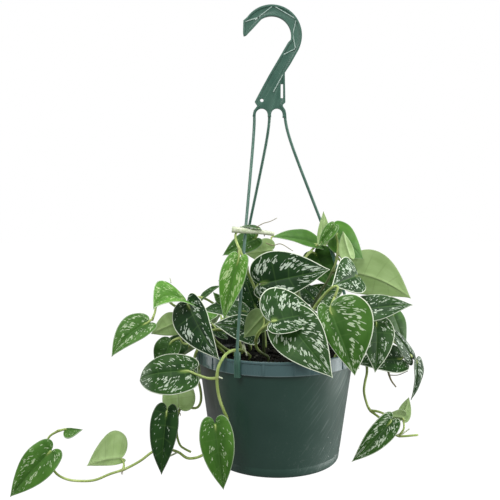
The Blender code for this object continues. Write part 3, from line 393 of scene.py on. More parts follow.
def leaf_top():
    look = Look("leaf_top")
    along, out, side = leaf_coordinates(look)
    age = look.mark("age")
    silver = look.mark("silver")
    rim = look.mark("rim")
    seed = look.mark("seed")
    edge = look.mark("edge")
    turn = look.math("MULTIPLY_ADD", side, 5.3, look.math("MULTIPLY", seed, 37.0))

    # The green: darker round the midrib, brighter toward the margin, with slow patches
    patch_place = look.vector(
        look.math("MULTIPLY", along, 4.0), look.math("MULTIPLY", out, 2.0), turn)
    patch = look.noise(patch_place, 1.0, 3.0).outputs["Fac"]
    dark = look.mix(look.step(patch, 0.3, 0.7), (0.006, 0.029, 0.007), (0.016, 0.060, 0.011))
    bright = look.mix(look.step(patch, 0.3, 0.7), (0.080, 0.240, 0.022), (0.130, 0.330, 0.042))
    spread = look.math("MULTIPLY", look.step(out, 0.1, 0.9), 0.35)
    level = look.math("MULTIPLY", age, look.math("ADD", spread, 0.75))
    green = look.mix(level, dark, bright)
    veins = vein_lines(look, along, out, 0.09)
    green = look.mix(look.math("MULTIPLY", veins, 0.22), green, (0.10, 0.20, 0.05))
    midrib = look.step(look.mark("out"), 0.1, 0.8, 1.0, 0.0)
    green = look.mix(look.math("MULTIPLY", midrib, 0.35), green, (0.09, 0.20, 0.045))

    # The silver flecks, long across the blade and gathered in clusters
    slant = look.math("MULTIPLY_ADD", out, -FLECK_SLANT, look.math("MULTIPLY", turn, 13.0))
    columns = look.math("MULTIPLY_ADD", silver, -FLECK_STRETCH, FLECK_COLUMNS)
    lane = look.vector(
        look.math("MULTIPLY_ADD", along, FLECK_ROWS, slant),
        look.math("MULTIPLY_ADD", out, columns, look.math("MULTIPLY", turn, 7.0)), 0.0)
    warp = look.noise(lane, 0.6, 2.0).outputs["Color"]
    shifted = look.node("ShaderNodeVectorMath", operation="MULTIPLY_ADD")
    look.feed(shifted.inputs[0], warp)
    shifted.inputs[1].default_value = (3.6, 1.8, 0.0)
    look.feed(shifted.inputs[2], lane)
    cells = look.node("ShaderNodeTexVoronoi", {
        "Vector": shifted.outputs[0], "Scale": 1.0, "Randomness": 0.9,
    }, voronoi_dimensions="2D")
    chance = look.node("ShaderNodeSeparateColor", {
        "Color": cells.outputs["Color"]}).outputs["Red"]
    group_place = look.vector(
        look.math("MULTIPLY", along, 8.0), look.math("MULTIPLY", out, 2.6),
        look.math("ADD", turn, 11.0))
    group = look.noise(group_place, 1.0, 2.0).outputs["Fac"]
    wanted = look.math("MULTIPLY", look.step(group, 0.40, 0.56, 0.12, 1.0), look.math(
        "MULTIPLY", silver, 1.15))
    wanted = look.math("MULTIPLY", wanted, look.step(out, 0.08, 0.34))
    wanted = look.math("MULTIPLY", wanted, look.step(out, 0.62, 0.96, 1.0, 0.2))
    wanted = look.math("MULTIPLY", wanted, look.step(along, 0.9, 0.99, 1.0, 0.2))
    spare = look.math("SUBTRACT", wanted, chance)
    reach = look.math("MULTIPLY_ADD", spare, 0.36, 0.28)
    inside = look.step(look.math("SUBTRACT", reach, cells.outputs["Distance"]), 0.0, 0.07)
    fleck = look.math("MULTIPLY", look.step(spare, 0.0, 0.04), inside)
    pale_silver = look.mix(age, (0.56, 0.66, 0.54), (0.58, 0.74, 0.36))
    strength = look.math("MULTIPLY_ADD", age, -0.3, 0.95)
    colour = look.mix(look.math("MULTIPLY", fleck, strength), green, pale_silver)

    # The pale margin, and the pale spot at the stalk
    line = look.math("MULTIPLY", look.step(edge, 0.5, 0.8, 1.0, 0.0), rim)
    colour = look.mix(line, colour, (0.80, 0.88, 0.70))
    spot = look.math("MULTIPLY", look.step(out, 0.03, 0.16, 1.0, 0.0),
                     look.step(along, 0.36, 0.46, 1.0, 0.0))
    colour = look.mix(look.math("MULTIPLY", spot, 0.7), colour, (0.20, 0.34, 0.07))
    look.set("Base Color", colour)

    look.set("Roughness", look.math("MULTIPLY_ADD", fleck, -0.12, 0.52))
    look.set("Specular IOR Level", 0.2)
    grain = look.noise(look.place(), 2600.0, 1.0).outputs["Fac"]
    rough = look.math("ADD", look.math("MULTIPLY", grain, 0.25), look.math(
        "MULTIPLY", fleck, 0.5))
    look.set("Normal", look.bump(rough, 0.35, 0.0001))
    return look.material


def leaf_under():
    look = Look("leaf_under", 0.5)
    along, out, side = leaf_coordinates(look)
    pale = look.mark("pale")
    seed = look.mark("seed")
    edge = look.mark("edge")
    turn = look.math("MULTIPLY_ADD", side, 5.3, look.math("MULTIPLY", seed, 37.0))
    patch_place = look.vector(
        look.math("MULTIPLY", along, 5.0), look.math("MULTIPLY", out, 2.0), turn)
    patch = look.noise(patch_place, 1.0, 3.0).outputs["Fac"]
    olive = look.mix(look.step(patch, 0.3, 0.7), (0.042, 0.088, 0.026), (0.075, 0.130, 0.042))
    light = look.mix(look.step(patch, 0.3, 0.7), (0.390, 0.580, 0.215), (0.500, 0.700, 0.300))
    green = look.mix(pale, olive, light)
    veins = vein_lines(look, along, out, 0.07)
    green = look.mix(look.math("MULTIPLY", veins, 0.25), green, (0.16, 0.26, 0.075))
    midrib = look.step(look.mark("out"), 0.3, 1.2, 1.0, 0.0)
    green = look.mix(look.math("MULTIPLY", midrib, 0.55), green, (0.34, 0.46, 0.20))
    line = look.step(edge, 0.4, 0.9, 0.6, 0.0)
    green = look.mix(line, green, (0.42, 0.54, 0.28))
    look.set("Base Color", green)
    look.set("Specular IOR Level", 0.3)
    grain = look.noise(look.place(), 2200.0, 2.0).outputs["Fac"]
    look.set("Normal", look.bump(grain, 0.3, 0.0001))
    return look.material


def pale_skin():
    look = Look("pale_skin", 0.45)
    fine = look.noise(look.place(), 500.0, 2.0).outputs["Fac"]
    look.set("Base Color", look.mix(look.step(fine, 0.3, 0.7), (0.52, 0.60, 0.38), (0.74, 0.78, 0.60)))
    look.set("Normal", look.bump(fine, 0.25, 0.0002))
    return look.material


def stem_skin():
    look = Look("stem_skin", 0.42)
    where = look.place()
    slow = look.noise(where, 60.0, 3.0).outputs["Fac"]
    fine = look.noise(where, 900.0, 2.0).outputs["Fac"]
    green = look.mix(look.step(slow, 0.3, 0.7), (0.260, 0.370, 0.085), (0.480, 0.600, 0.200))
    green = look.mix(look.math("MULTIPLY", look.mark("node"), 0.5), green, (0.21, 0.22, 0.085))
    green = look.mix(look.step(fine, 0.62, 0.75, 0.0, 0.3), green, (0.42, 0.50, 0.27))
    green = look.mix(look.math("MULTIPLY", look.mark("shade"), 0.88), green, (0.020, 0.034, 0.012))
    look.set("Base Color", green)
    look.set("Specular IOR Level", 0.4)
    look.set("Normal", look.bump(fine, 0.25, 0.0002))
    return look.material


def root_skin():
    look = Look("root_skin", 0.7)
    fine = look.noise(look.place(), 700.0, 3.0).outputs["Fac"]
    look.set("Base Color", look.mix(look.step(fine, 0.3, 0.7), (0.20, 0.17, 0.09), (0.36, 0.34, 0.20)))
    look.set("Normal", look.bump(fine, 0.4, 0.0002))
    return look.material


def pot_plastic():
    look = Look("pot_gloss")
    where = look.place()
    slow = look.noise(where, 14.0, 4.0).outputs["Fac"]
    streaks = look.noise(look.stretch(where, 220.0, 220.0, 9.0), 1.0, 3.0).outputs["Fac"]
    rings = look.noise(look.stretch(where, 3.0, 3.0, 900.0), 1.0, 2.0).outputs["Fac"]
    specks = look.noise(where, 480.0, 2.0).outputs["Fac"]
    green = look.mix(look.step(slow, 0.3, 0.7), (0.0150, 0.0500, 0.0360), (0.0240, 0.0640, 0.0480))
    dust = look.math("MULTIPLY", look.step(slow, 0.48, 0.72), look.step(specks, 0.56, 0.72))
    green = look.mix(look.math("MULTIPLY", dust, 0.16), green, (0.24, 0.27, 0.25))
    split = look.node("ShaderNodeSeparateXYZ", {"Vector": where})
    # The band round the rim is drawn a lighter blue-green: partly its own tone, partly a painted
    # reflection
    band = look.step(split.outputs["Z"], (BAND_BOTTOM_Z - 0.3) * MM, (BAND_BOTTOM_Z + 0.3) * MM)
    green = look.mix(look.math("MULTIPLY", band, 0.75), green, (0.085, 0.155, 0.165))
    # Painted highlight: a lighter line along the band's lower edge
    painted_rim_highlight = look.math("MULTIPLY", band, look.step(
        split.outputs["Z"], (BAND_BOTTOM_Z + 0.5) * MM, (BAND_BOTTOM_Z + 1.4) * MM, 1.0, 0.0))
    green = look.mix(look.math("MULTIPLY", painted_rim_highlight, 0.5), green, (0.22, 0.28, 0.28))
    # Painted shade: the pot's inside, from the band's lower edge up, is drawn near black
    centred = look.node("ShaderNodeVectorMath", operation="SUBTRACT")
    look.feed(centred.inputs[0], look.stretch(where, 1.0, 1.0, 0.0))
    centred.inputs[1].default_value = (POT_AXIS_X * MM, 0.0, 0.0)
    away = look.node("ShaderNodeVectorMath", operation="LENGTH")
    look.feed(away.inputs[0], centred.outputs[0])
    inside = look.math("MULTIPLY", band, look.step(
        away.outputs["Value"], (POT_BAND_RADIUS - 1.3) * MM, (POT_BAND_RADIUS - 0.7) * MM, 1.0, 0.0))
    green = look.mix(inside, green, (0.003, 0.005, 0.004))

    # Painted sheen: the right side is drawn lighter, with slanting scratches that are partly real
    # marks and partly painted sheen; the left side is painted grey as a sheen; and a few white specks
    # sit low on the right
    height = split.outputs["Z"]
    towards = look.math("MULTIPLY", split.outputs["Y"], -1.0)
    angle = look.math("ARCTAN2", look.math(
        "SUBTRACT", split.outputs["X"], POT_AXIS_X * MM), towards)
    across = look.math("MULTIPLY", angle, POT_NECK_RADIUS * MM)
    wall = look.math("SUBTRACT", 1.0, band)
    slope = look.math("MULTIPLY_ADD", across, 0.75, look.math("MULTIPLY", height, -0.65))
    course = look.math("MULTIPLY_ADD", across, 0.65, look.math("MULTIPLY", height, 0.75))
    lines = look.noise(look.vector(
        look.math("MULTIPLY", slope, 420.0), look.math("MULTIPLY", course, 26.0), 0.0),
        1.0, 3.0).outputs["Fac"]
    # Painted sheen: the right side of the wall is drawn lighter, as a painted reflection of the light
    # at the right
    right = look.math("MULTIPLY", wall, look.math(
        "MULTIPLY", look.step(across, 0.010, 0.075), look.step(across, 0.13, 0.19, 1.0, 0.0)))
    scratches_and_painted_sheen = look.math("MULTIPLY", look.step(lines, 0.54, 0.66), right)
    green = look.mix(look.math("MULTIPLY", right, 0.25), green, (0.14, 0.19, 0.17))
    green = look.mix(look.math("MULTIPLY", scratches_and_painted_sheen, 0.3), green, (0.26, 0.32, 0.30))
    # Painted sheen: the left side of the wall is drawn grey
    left = look.math("MULTIPLY", wall, look.math(
        "MULTIPLY", look.step(across, -0.075, -0.050, 1.0, 0.0), look.step(across, -0.19, -0.13)))
    green = look.mix(look.math("MULTIPLY", left, 0.7), green, (0.060, 0.060, 0.056))
    low_right = look.math("MULTIPLY", look.step(across, 0.045, 0.06), look.step(
        height, (POT_BOTTOM_Z + 20.0) * MM, (POT_BOTTOM_Z + 45.0) * MM, 1.0, 0.0))
    low_right = look.math("MULTIPLY", low_right, look.step(across, 0.08, 0.13, 1.0, 0.0))
    spots = look.noise(where, 260.0, 1.0).outputs["Fac"]
    dots = look.math("MULTIPLY", low_right, look.step(spots, 0.72, 0.74))
    green = look.mix(look.math("MULTIPLY", dots, 0.8), green, (0.60, 0.64, 0.62))
    look.set("Base Color", green)
    scuffs = look.math("MULTIPLY_ADD", look.step(streaks, 0.45, 0.75), 0.12, look.math(
        "MULTIPLY_ADD", band, -0.16, 0.4))
    look.set("Roughness", look.math("MULTIPLY_ADD", look.step(slow, 0.35, 0.7), 0.08, scuffs))
    ridge = look.math("ADD", look.math("MULTIPLY", rings, 0.6), look.math("MULTIPLY", specks, 0.4))
    look.set("Normal", look.bump(ridge, 0.12, 0.0002))
    return look.material


def hanger_plastic():
    look = Look("hanger_green")
    where = look.place()
    slow = look.noise(where, 40.0, 3.0).outputs["Fac"]
    fine = look.noise(where, 1100.0, 2.0).outputs["Fac"]
    green = look.mix(look.step(slow, 0.3, 0.7), (0.045, 0.125, 0.090), (0.080, 0.175, 0.130))
    look.set("Base Color", green)
    look.set("Roughness", look.math("MULTIPLY_ADD", fine, 0.15, 0.3))
    look.set("Normal", look.bump(fine, 0.15, 0.0002))
    return look.material


def soil_look():
    look = Look("soil", 0.95)
    where = look.place()
    fine = look.noise(where, 520.0, 5.0, 0.7).outputs["Fac"]
    # The soil is drawn near black: the dark soil itself, darkened further as painted shade from the
    # leaves over it
    brown = look.mix(look.step(fine, 0.35, 0.65), (0.001, 0.0012, 0.0008), (0.007, 0.0065, 0.004))
    look.set("Base Color", brown)
    look.set("Specular IOR Level", 0.2)
    look.set("Normal", look.bump(fine, 0.9, 0.002))
    return look.material


def crumb_look(name, dark, light):
    look = Look(name, 0.9)
    fine = look.noise(look.place(), 900.0, 4.0, 0.65).outputs["Fac"]
    look.set("Base Color", look.mix(look.step(fine, 0.3, 0.7), dark, light))
    look.set("Specular IOR Level", 0.2)
    look.set("Normal", look.bump(fine, 0.7, 0.0006))
    return look.material


def hanger_edge():
    look = Look("hanger_edge", 0.4)
    fine = look.noise(look.place(), 700.0, 2.0).outputs["Fac"]
    look.set("Base Color", look.mix(look.step(fine, 0.3, 0.7), (0.24, 0.36, 0.31), (0.46, 0.58, 0.52)))
    look.set("Normal", look.bump(fine, 0.15, 0.0002))
    return look.material


LEAF_TOP = leaf_top()
LEAF_UNDER = leaf_under()
PALE_SKIN = pale_skin()
STEM_SKIN = stem_skin()
ROOT_SKIN = root_skin()
POT_PLASTIC = pot_plastic()
HANGER_PLASTIC = hanger_plastic()
HANGER_EDGE = hanger_edge()
SOIL = soil_look()
CRUMBS = (
    crumb_look("bark_crumb", (0.003, 0.0026, 0.0015), (0.016, 0.013, 0.009)),
    crumb_look("peat_crumb", (0.0012, 0.0013, 0.0008), (0.006, 0.006, 0.004)),
    crumb_look("pale_crumb", (0.10, 0.10, 0.08), (0.22, 0.21, 0.18)),
)


# Leaves

OUTLINE = (
    (0.0, 0.0), (-0.07, 0.035), (-0.115, 0.11), (-0.115, 0.2), (-0.06, 0.29), (0.06, 0.352),
    (0.21, 0.375), (0.38, 0.35), (0.55, 0.285), (0.71, 0.195), (0.85, 0.1), (0.94, 0.035),
    (1.0, 0.0),
)
FULL_WIDTH = 0.75
FAN_SHARE = 0.34
RIPPLES = 1.4
RIPPLE_LAG = 1.9
RIPPLE_HEIGHT = 0.014
MARGIN_DROP = 0.012
PHASE_STEP = 1.7


def outline_point(t):
    """The margin at t, from the notch at the stalk (0) to the tip (1)."""
    place = min(t, 0.9999) * (len(OUTLINE) - 1)
    k = int(place)
    t = place - k
    a = OUTLINE[max(0, k - 1)]
    b = OUTLINE[k]
    c = OUTLINE[k + 1]
    d = OUTLINE[min(len(OUTLINE) - 1, k + 2)]
    return tuple(
        0.5 * (2 * b[n] + (c[n] - a[n]) * t + (2 * a[n] - 5 * b[n] + 4 * c[n] - d[n]) * t * t
               + (3 * b[n] - a[n] - 3 * c[n] + d[n]) * t * t * t)
        for n in (0, 1)
    )


def midrib_point(t):
    """Where the side vein that ends on the margin at t leaves the midrib."""
    return 0.0 if t < FAN_SHARE else ((t - FAN_SHARE) / (1 - FAN_SHARE)) ** 1.1


class Leaf:
    """One leaf: base and tip are places in millimetres, face is the way its upper side looks."""

    def __init__(self, base, tip, face, width=0.72, fold=0.12, arch=0.06, skew=0.0, bend=0.0,
                 phase=0.0):
        self.base = base
        self.length = (tip - base).length
        self.along = (tip - base).normalized()
        self.side = face.cross(self.along).normalized()
        self.up = self.along.cross(self.side)
        self.width = width / FULL_WIDTH
        self.fold = fold
        self.arch = arch
        self.skew = skew
        self.bend = bend
        self.phase = phase

    def surface(self, a, s):
        """The middle of the blade at a along the midrib and s out from it, in parts of the length."""
        out = s * self.width * (1 + (self.skew if s > 0 else -self.skew))
        share = abs(s) / (FULL_WIDTH / 2)
        ripple = math.sin(2 * math.pi * RIPPLES * a + self.phase + (RIPPLE_LAG if s > 0 else 0.0))
        rise = abs(out) * math.sin(self.fold) + share * share * (RIPPLE_HEIGHT * ripple - MARGIN_DROP)
        rise += self.arch * 4 * a * (1 - a)
        out = out * math.cos(self.fold) + self.bend * 4 * a * (1 - a)
        return self.base + (self.along * a + self.side * out + self.up * rise) * self.length

    def normal(self, a, s):
        step = 0.004
        if s == 0.0:
            right = self.surface(a, step) - self.surface(a, 0.0)
            left = self.surface(a, 0.0) - self.surface(a, -step)
            across = right + left
        else:
            across = self.surface(a, s + step) - self.surface(a, s - step)
        return (self.surface(a + step, s) - self.surface(a - step, s)).cross(across).normalized()

    def relief(self, t, share, out):
        """How far the upper and the under side stand from the blade's middle, in millimetres."""
        quilt = math.sin(math.pi * SIDE_VEINS * t) ** 2 * math.sin(math.pi * min(1.0, share * 1.05))
        quilt *= QUILT_HEIGHT * ease(1.0, 0.85, t) * ease(0.0, 4.0, out)
        rib = math.exp(-(out / MIDRIB_WIDTH) ** 2) * ease(1.0, 0.8, t)
        half = (EDGE_THICKNESS + (BLADE_THICKNESS - EDGE_THICKNESS) * ease(1.0, 0.9, share)) / 2
        top = half + quilt - MIDRIB_GROOVE * rib
        under = -half + quilt * 0.7 - (MIDRIB_GROOVE + MIDRIB_RIDGE) * rib * 0.8
        return top, under

    def add_to(self, shape, rows, marks):
        """Adds the blade to a shape: slot 0 on its upper side, slot 1 on its under side."""
        grid = {}
        keys = []
        triangles = []
        places = []

        def corner(t, share, side):
            margin = outline_point(t)
            root = midrib_point(t)
            a = root + (margin[0] - root) * share
            s = side * margin[1] * share
            key = (round(a, 5), round(s, 5))
            if key not in grid:
                grid[key] = len(keys)
                away = math.hypot(margin[0] - a, (margin[1] - abs(s)) * self.width) * self.length
                keys.append((a, s, t, share, abs(s) * self.width * self.length, away))
            return grid[key], (t, 0.5 + 0.5 * side * share)

        stops = [i / rows for i in range(rows + 1)]
        for side in (1, -1):
            lines = [[corner(t, share, side) for share in COLUMNS] for t in stops]
            for first, second in zip(lines, lines[1:]):
                for c in range(len(COLUMNS) - 1):
                    for one in (
                        (first[c], first[c + 1], second[c + 1]),
                        (first[c], second[c + 1], second[c]),
                    ):
                        if len({i for i, place in one}) == 3:
                            one = one if side > 0 else one[::-1]
                            triangles.append(tuple(i for i, place in one))
                            places.append(tuple(place for i, place in one))
        tops = []
        unders = []
        for a, s, t, share, out, away in keys:
            middle = self.surface(a, s)
            normal = self.normal(a, s)
            top, under = self.relief(t, share, out)
            tops.append(middle + normal * top)
            unders.append(middle + normal * under)
        count = len(keys)
        edges = {}
        for one, place in zip(triangles, places):
            for i in range(3):
                edges[one[i], one[(i + 1) % 3]] = (place[i], place[(i + 1) % 3])
        rim = []
        rim_places = []
        for (a, b), (first, second) in sorted(edges.items()):
            if (b, a) not in edges:
                rim.append((b, a, a + count, b + count))
                rim_places.append((second, first, first, second))
        under_faces = [tuple(i + count for i in reversed(one)) for one in triangles]
        under_places = [tuple(reversed(place)) for place in places]
        every = {name: [value] * (2 * count) for name, value in marks.items()}
        every["out"] = [key[4] for key in keys] * 2
        every["edge"] = [key[5] for key in keys] * 2
        start = len(shape.points)
        shape.add(tops + unders, triangles + rim, 0, places + rim_places, every)
        shape.faces += [tuple(i + start for i in face) for face in under_faces]
        shape.slots += [1] * len(under_faces)
        shape.places += under_places


def leaf(base, tip, face, stalk=(), **form):
    """A leaf of a stem: base and tip on the sheet, face as (right, toward, up)."""
    return {"base": base, "tip": tip, "face": face, "stalk": stalk, "form": form}


# Each leafy stem: where it stands in the soil, as (right of the axis, toward), the places that it
# passes through on the sheet, and its leaves with the places that their stalks pass through
VINES = {
    "vine_front_left": {
        "root": (-26, 24),
        "stem": (
            (243, 350.5, 34), (236, 350, 46), (229, 352, 57), (223, 358, 69), (218.5, 367, 73),
            (217, 377, 73), (217.5, 388, 72), (220, 400, 69), (224, 411, 67), (227.5, 420, 65),
            (228, 436, 62), (220, 449, 59), (207, 453, 55), (197, 457.5, 50), (187, 458, 47),
            (178, 452, 45), (166, 449, 45), (154, 451, 47), (140, 461, 50), (125, 469, 52),
            (110, 474, 54), (95, 480, 56), (80, 481, 57), (66, 479, 58), (55, 472, 57),
            (49, 458, 54), (47, 443, 54), (50, 436, 56), (58, 431, 58),
        ),
        "leaves": (
            leaf((188, 371, 68), (140, 381, 42), (-0.45, 0.82, 0.35),
                 ((217, 377, 73), (209, 378.5, 73), (198, 375, 71)), width=0.66, fold=0.04,
                 arch=0.26, skew=0.12),
            leaf((215, 424, 76), (223.5, 490, 72), (0.05, 1, 0.05),
                 ((228, 440, 62), (219, 437, 65), (214.5, 431, 71)), width=0.51, fold=0.25),
            leaf((121, 458, 48), (87, 466, 78), (-0.55, -0.8, 0.1),
                 ((123, 469, 52), (124, 464, 48)), width=0.85, fold=0.1, arch=0.1,
                 skew=0.6),
            leaf((51, 451, 60), (10, 497, 64), (-0.1, 0.95, 0.25),
                 ((50, 460, 54), (52.5, 455, 56)), width=0.58, fold=0.2),
            leaf((66, 429, 58), (83, 429.5, 60), (0.1, 0.9, 0.4), (), width=0.6, skew=-0.8),
        ),
    },
    "vine_left_hang": {
        "root": (-50, 12),
        "stem": (
            (216, 345, 16), (207, 342, 22), (200, 346, 28), (194.5, 358, 32), (197, 375, 32),
            (200.5, 390, 32), (201, 400, 32), (198, 407, 32), (192, 408, 32), (186, 405, 32),
            (180, 409, 33), (177, 420, 35), (177, 435, 36), (180, 445, 36), (185, 449, 36),
            (191, 452, 36),
        ),
        "leaves": (
            leaf((179, 407, 34), (175, 366, 22), (0, -0.9, 0.4), ((181, 409, 33),), width=0.84,
                 fold=0.1),
            leaf((167, 411, 58), (161.5, 475, 58), (-0.15, 1, 0.05),
                 ((178.5, 414, 34), (173, 407, 46)), width=0.47, fold=0.35),
            leaf((194, 369, 40), (192, 391, 44), (-0.7, 0.7, 0.1), ((195.5, 364, 32),), width=0.7),
        ),
    },
    "vine_left_up": {
        "root": (-42, 2),
        "stem": (
            (226, 349, 8), (216, 341, 18), (208, 329, 26), (198, 317, 34), (188, 311, 40),
            (180, 309, 40), (172, 304, 35), (164, 298, 32), (157, 303, 34), (155, 312, 38),
            (152.5, 319, 42),
        ),
        "leaves": (
            leaf((147, 323, 44), (111.5, 357, 56), (-0.1, 0.9, 0.4), ((152.5, 319, 42),),
                 width=0.62, fold=0.15, skew=-0.12, bend=-0.07),
            leaf((184, 300, 44), (153, 309.5, 70), (-0.2, 0.75, 0.6), ((185, 309, 41),),
                 width=1.1, fold=0.25, arch=0.16, bend=-0.18),
            leaf((178, 322, 30), (151, 334, 28), (0.1, -0.95, 0.25),
                 ((206, 327, 27), (190, 343, 22), (182, 342, 26), (180, 332, 28)), width=0.85),
            leaf((171, 342, 22), (158, 373, 34), (-0.2, 0.8, 0.5),
                 ((180, 338, 27), (176, 339, 25)), width=0.85),
            leaf((188, 304, 50), (219.5, 360, 76), (-0.4, 0.9, 0.1),
                 ((188, 311, 40), (186, 307, 45)), width=0.6, fold=0.1, skew=-0.2),
        ),
    },
    "vine_mid_left": {
        "root": (-26, -16),
        "stem": (
            (246, 336, -12), (240, 324, -8), (230, 314, -4), (216, 305, 0), (206, 299, 2),
            (198, 297, 2), (190, 298, 0),
        ),
        "leaves": (
            leaf((202, 298, 4), (221, 285.5, 10), (0.2, 0.45, 0.9), (), width=0.6),
            leaf((246, 312, 0), (201, 311, 22), (0, 0.6, 0.8), ((236, 320, -5),), width=0.62),
            leaf((255, 333, 26), (213, 324, 34), (0, 0.72, 0.7), ((244, 330, -4), (256, 332, 14)),
                 width=0.78),
            leaf((256, 308, -20), (241, 268, -24), (-0.1, 0.85, 0.5), ((246, 332, -11),),
                 width=0.66),
        ),
    },
    "vine_top_left": {
        "root": (-12, 14),
        "stem": (
            (263, 325, 18), (260, 300, 24), (254, 286, 28), (248.5, 274, 38), (246.5, 264.5, 55),
            (242.5, 256, 58), (238.5, 247, 55), (235.5, 238, 50), (237, 232, 48), (246, 231, 46),
            (257, 231.5, 44), (267, 234, 42),
        ),
        "leaves": (
            leaf((259, 228.5, 44), (240, 227, 48), (0, 0.3, 1), ((263, 232, 43),), width=0.6),
            leaf((256, 238, 28), (222.5, 255.5, 26), (-0.1, 0.9, 0.4), ((257, 232, 44),),
                 width=0.62),
            leaf((272, 250, 14), (245.5, 254, 22), (0, -0.9, 0.2), ((256, 290, 26), (263, 270, 20)),
                 width=0.9),
            leaf((238.5, 260, 60), (224, 320, 64), (-0.3, 0.95, 0.1), ((239, 250, 54),),
                 width=0.46, fold=0.3),
            leaf((236, 262, 36), (218.5, 281, 32), (-0.2, 0.6, 0.7), ((247, 265, 50),),
                 width=0.3),
        ),
    },
    "vine_top_mid": {
        "root": (6, 10),
        "stem": (
            (283, 325, 12), (286, 300, 14), (292, 280, 12), (300, 264, 8), (310, 252, 4),
            (318, 244, 0),
        ),
        "leaves": (
            leaf((318, 245, -4), (271.5, 237, 8), (0, 0.55, 0.85), (), width=0.56, fold=0.1,
                 skew=-0.35),
            leaf((321.5, 242, 7), (323.5, 211, 5), (0.25, -0.95, 0.1), (), width=0.42, fold=0.2,
                 skew=0.2),
            leaf((315, 253, -14), (333, 288, -12), (0.1, 0.97, 0.2), ((308, 254, 5), (309, 252, -6)),
                 width=0.86),
            leaf((261, 284, 46), (330, 269.5, 44), (-0.05, 0.98, 0.15),
                 ((288, 296, 14), (268, 302, 30), (260, 293, 42)), width=0.68, skew=0.25),
        ),
    },
    "vine_centre": {
        "root": (-8, 30),
        "stem": (
            (258, 350, 36), (256, 342, 44), (257.5, 334, 54), (263, 328, 65), (269, 324, 74),
        ),
        "leaves": (
            leaf((272, 321.5, 80), (318, 314, 46), (-0.5, 0.8, 0.2), (), width=0.82, skew=0.35),
            leaf((263, 316, 46), (243.5, 338, 44), (0.3, -0.9, 0.3), ((257, 338, 48), (264, 324, 46)),
                 width=0.85),
            leaf((286, 320, 60), (333, 378, 94), (-0.25, 0.85, 0.45), ((262, 329, 62), (276, 318, 60)),
                 width=0.7),
        ),
    },
    "vine_front_right": {
        "root": (22, 26),
        "stem": (
            (300, 338, 28), (308, 318, 34), (319, 301, 46), (330, 289, 58), (337.5, 286, 64),
            (337, 291, 64), (334.5, 297, 62),
        ),
        "leaves": (
            leaf((330, 309, 68), (355, 376, 75), (0, 0.98, 0.15), ((333, 303, 61),), width=0.76,
                 skew=0.42),
        ),
    },
    "vine_crown": {
        "root": (8, -34),
        "stem": ((288, 322, -30), (292, 306, -24), (298, 292, -24), (302, 282, -28)),
        "leaves": (
            leaf((302, 276, -30), (330, 276, -66), (0.2, -0.2, 1), (), width=0.72),
            leaf((284, 284, -28), (262, 282, -66), (-0.2, -0.2, 1), ((294, 300, -24),), width=0.7),
            leaf((293, 306, -10), (302, 322, 6), (0.1, 0.5, 0.9), ((293, 304, -24),), width=0.72),
            leaf((276, 304, -34), (250, 312, -48), (-0.3, -0.3, 0.9), ((289, 318, -29),), width=0.66),
            leaf((312, 300, -26), (344, 290, -40), (0.1, 0.75, 0.65), ((291, 311, -26),), width=0.8),
        ),
    },
    "vine_right_top": {
        "root": (30, -4),
        "stem": (
            (306, 325, 0), (316, 300, 4), (328, 280, 8), (336, 262, 8), (338, 246, 6),
            (335, 232, 4), (331, 222, 2),
        ),
        "leaves": (
            leaf((357, 276, 22), (331.5, 286, 50), (0.7, 0.5, 0.5), ((332, 273, 9), (346, 268, 16)),
                 width=0.96, skew=-0.1),
            leaf((350, 272, -18), (411, 298.5, -14), (0, -0.97, 0.2), ((337, 258, 7), (343, 264, -8)),
                 width=0.74, arch=0.08, skew=-0.1, bend=-0.06),
            leaf((335, 232, -2), (363, 259, -14), (0.2, 0.85, 0.45), (), width=0.85, fold=-0.1),
            leaf((350, 257, 6), (343, 231, 12), (-0.4, -0.9, 0.1), ((338, 254, 7), (346, 262, 6)),
                 width=0.6, skew=-0.15),
        ),
    },
    "vine_right": {
        "root": (48, 10),
        "stem": (
            (334, 330, 12), (348, 316, 18), (362, 316, 20), (378, 328, 16), (392, 340, 14),
            (404, 350, 14), (415, 359, 16),
        ),
        "leaves": (
            leaf((356, 312, 30), (413, 305, 34), (0, 0.72, 0.7), ((354, 317, 20),), width=0.6),
            leaf((371, 304, 6), (392, 298, -8), (0, 0.5, 0.87), ((366, 317, 19),), width=0.66),
            leaf((392, 312, 2), (404, 352, 6), (0.6, 0.75, 0.2), ((384, 333, 15), (388, 318, 6)),
                 width=0.6),
            leaf((376, 322, 36), (375, 373, 48), (0.3, 0.9, 0.3), ((378, 328, 17),), width=0.75),
            leaf((401, 359, 15), (356, 364, 30), (0, 0.75, 0.65), ((408, 353, 14),), width=0.66),
            leaf((412, 357, 22), (384, 322, 36), (0.4, 0.85, 0.35), (), width=0.32, skew=0.3),
            leaf((416.5, 361, 20), (411, 400, 22), (0.75, 0.65, 0.1), (), width=0.5, fold=0.3),
        ),
    },
    "vine_right_low": {
        "root": (58, 18),
        "stem": (
            (344, 340, 20), (354, 340, 20), (362, 350, 20), (366, 362, 20), (367, 372, 20),
            (365, 382, 22), (364, 391, 24), (366, 401, 26), (370, 410, 28), (381, 419, 28),
            (390, 430, 26), (399, 436, 24), (418, 435, 20),
        ),
        "leaves": (
            leaf((391, 421, 40), (351.5, 462, 42), (0.1, 0.98, 0.15),
                 ((370.5, 410.5, 28), (378, 411.5, 32), (386, 415, 37)), width=0.45, fold=0.2),
            leaf((403, 419, 22), (409, 397, 20), (0.2, -0.9, 0.3), ((398, 436, 24), (404, 428, 23)),
                 width=0.6),
            leaf((402, 417, 24), (384, 417, 34), (0, -0.85, 0.5), ((404, 422, 23),), width=0.8),
        ),
    },
}

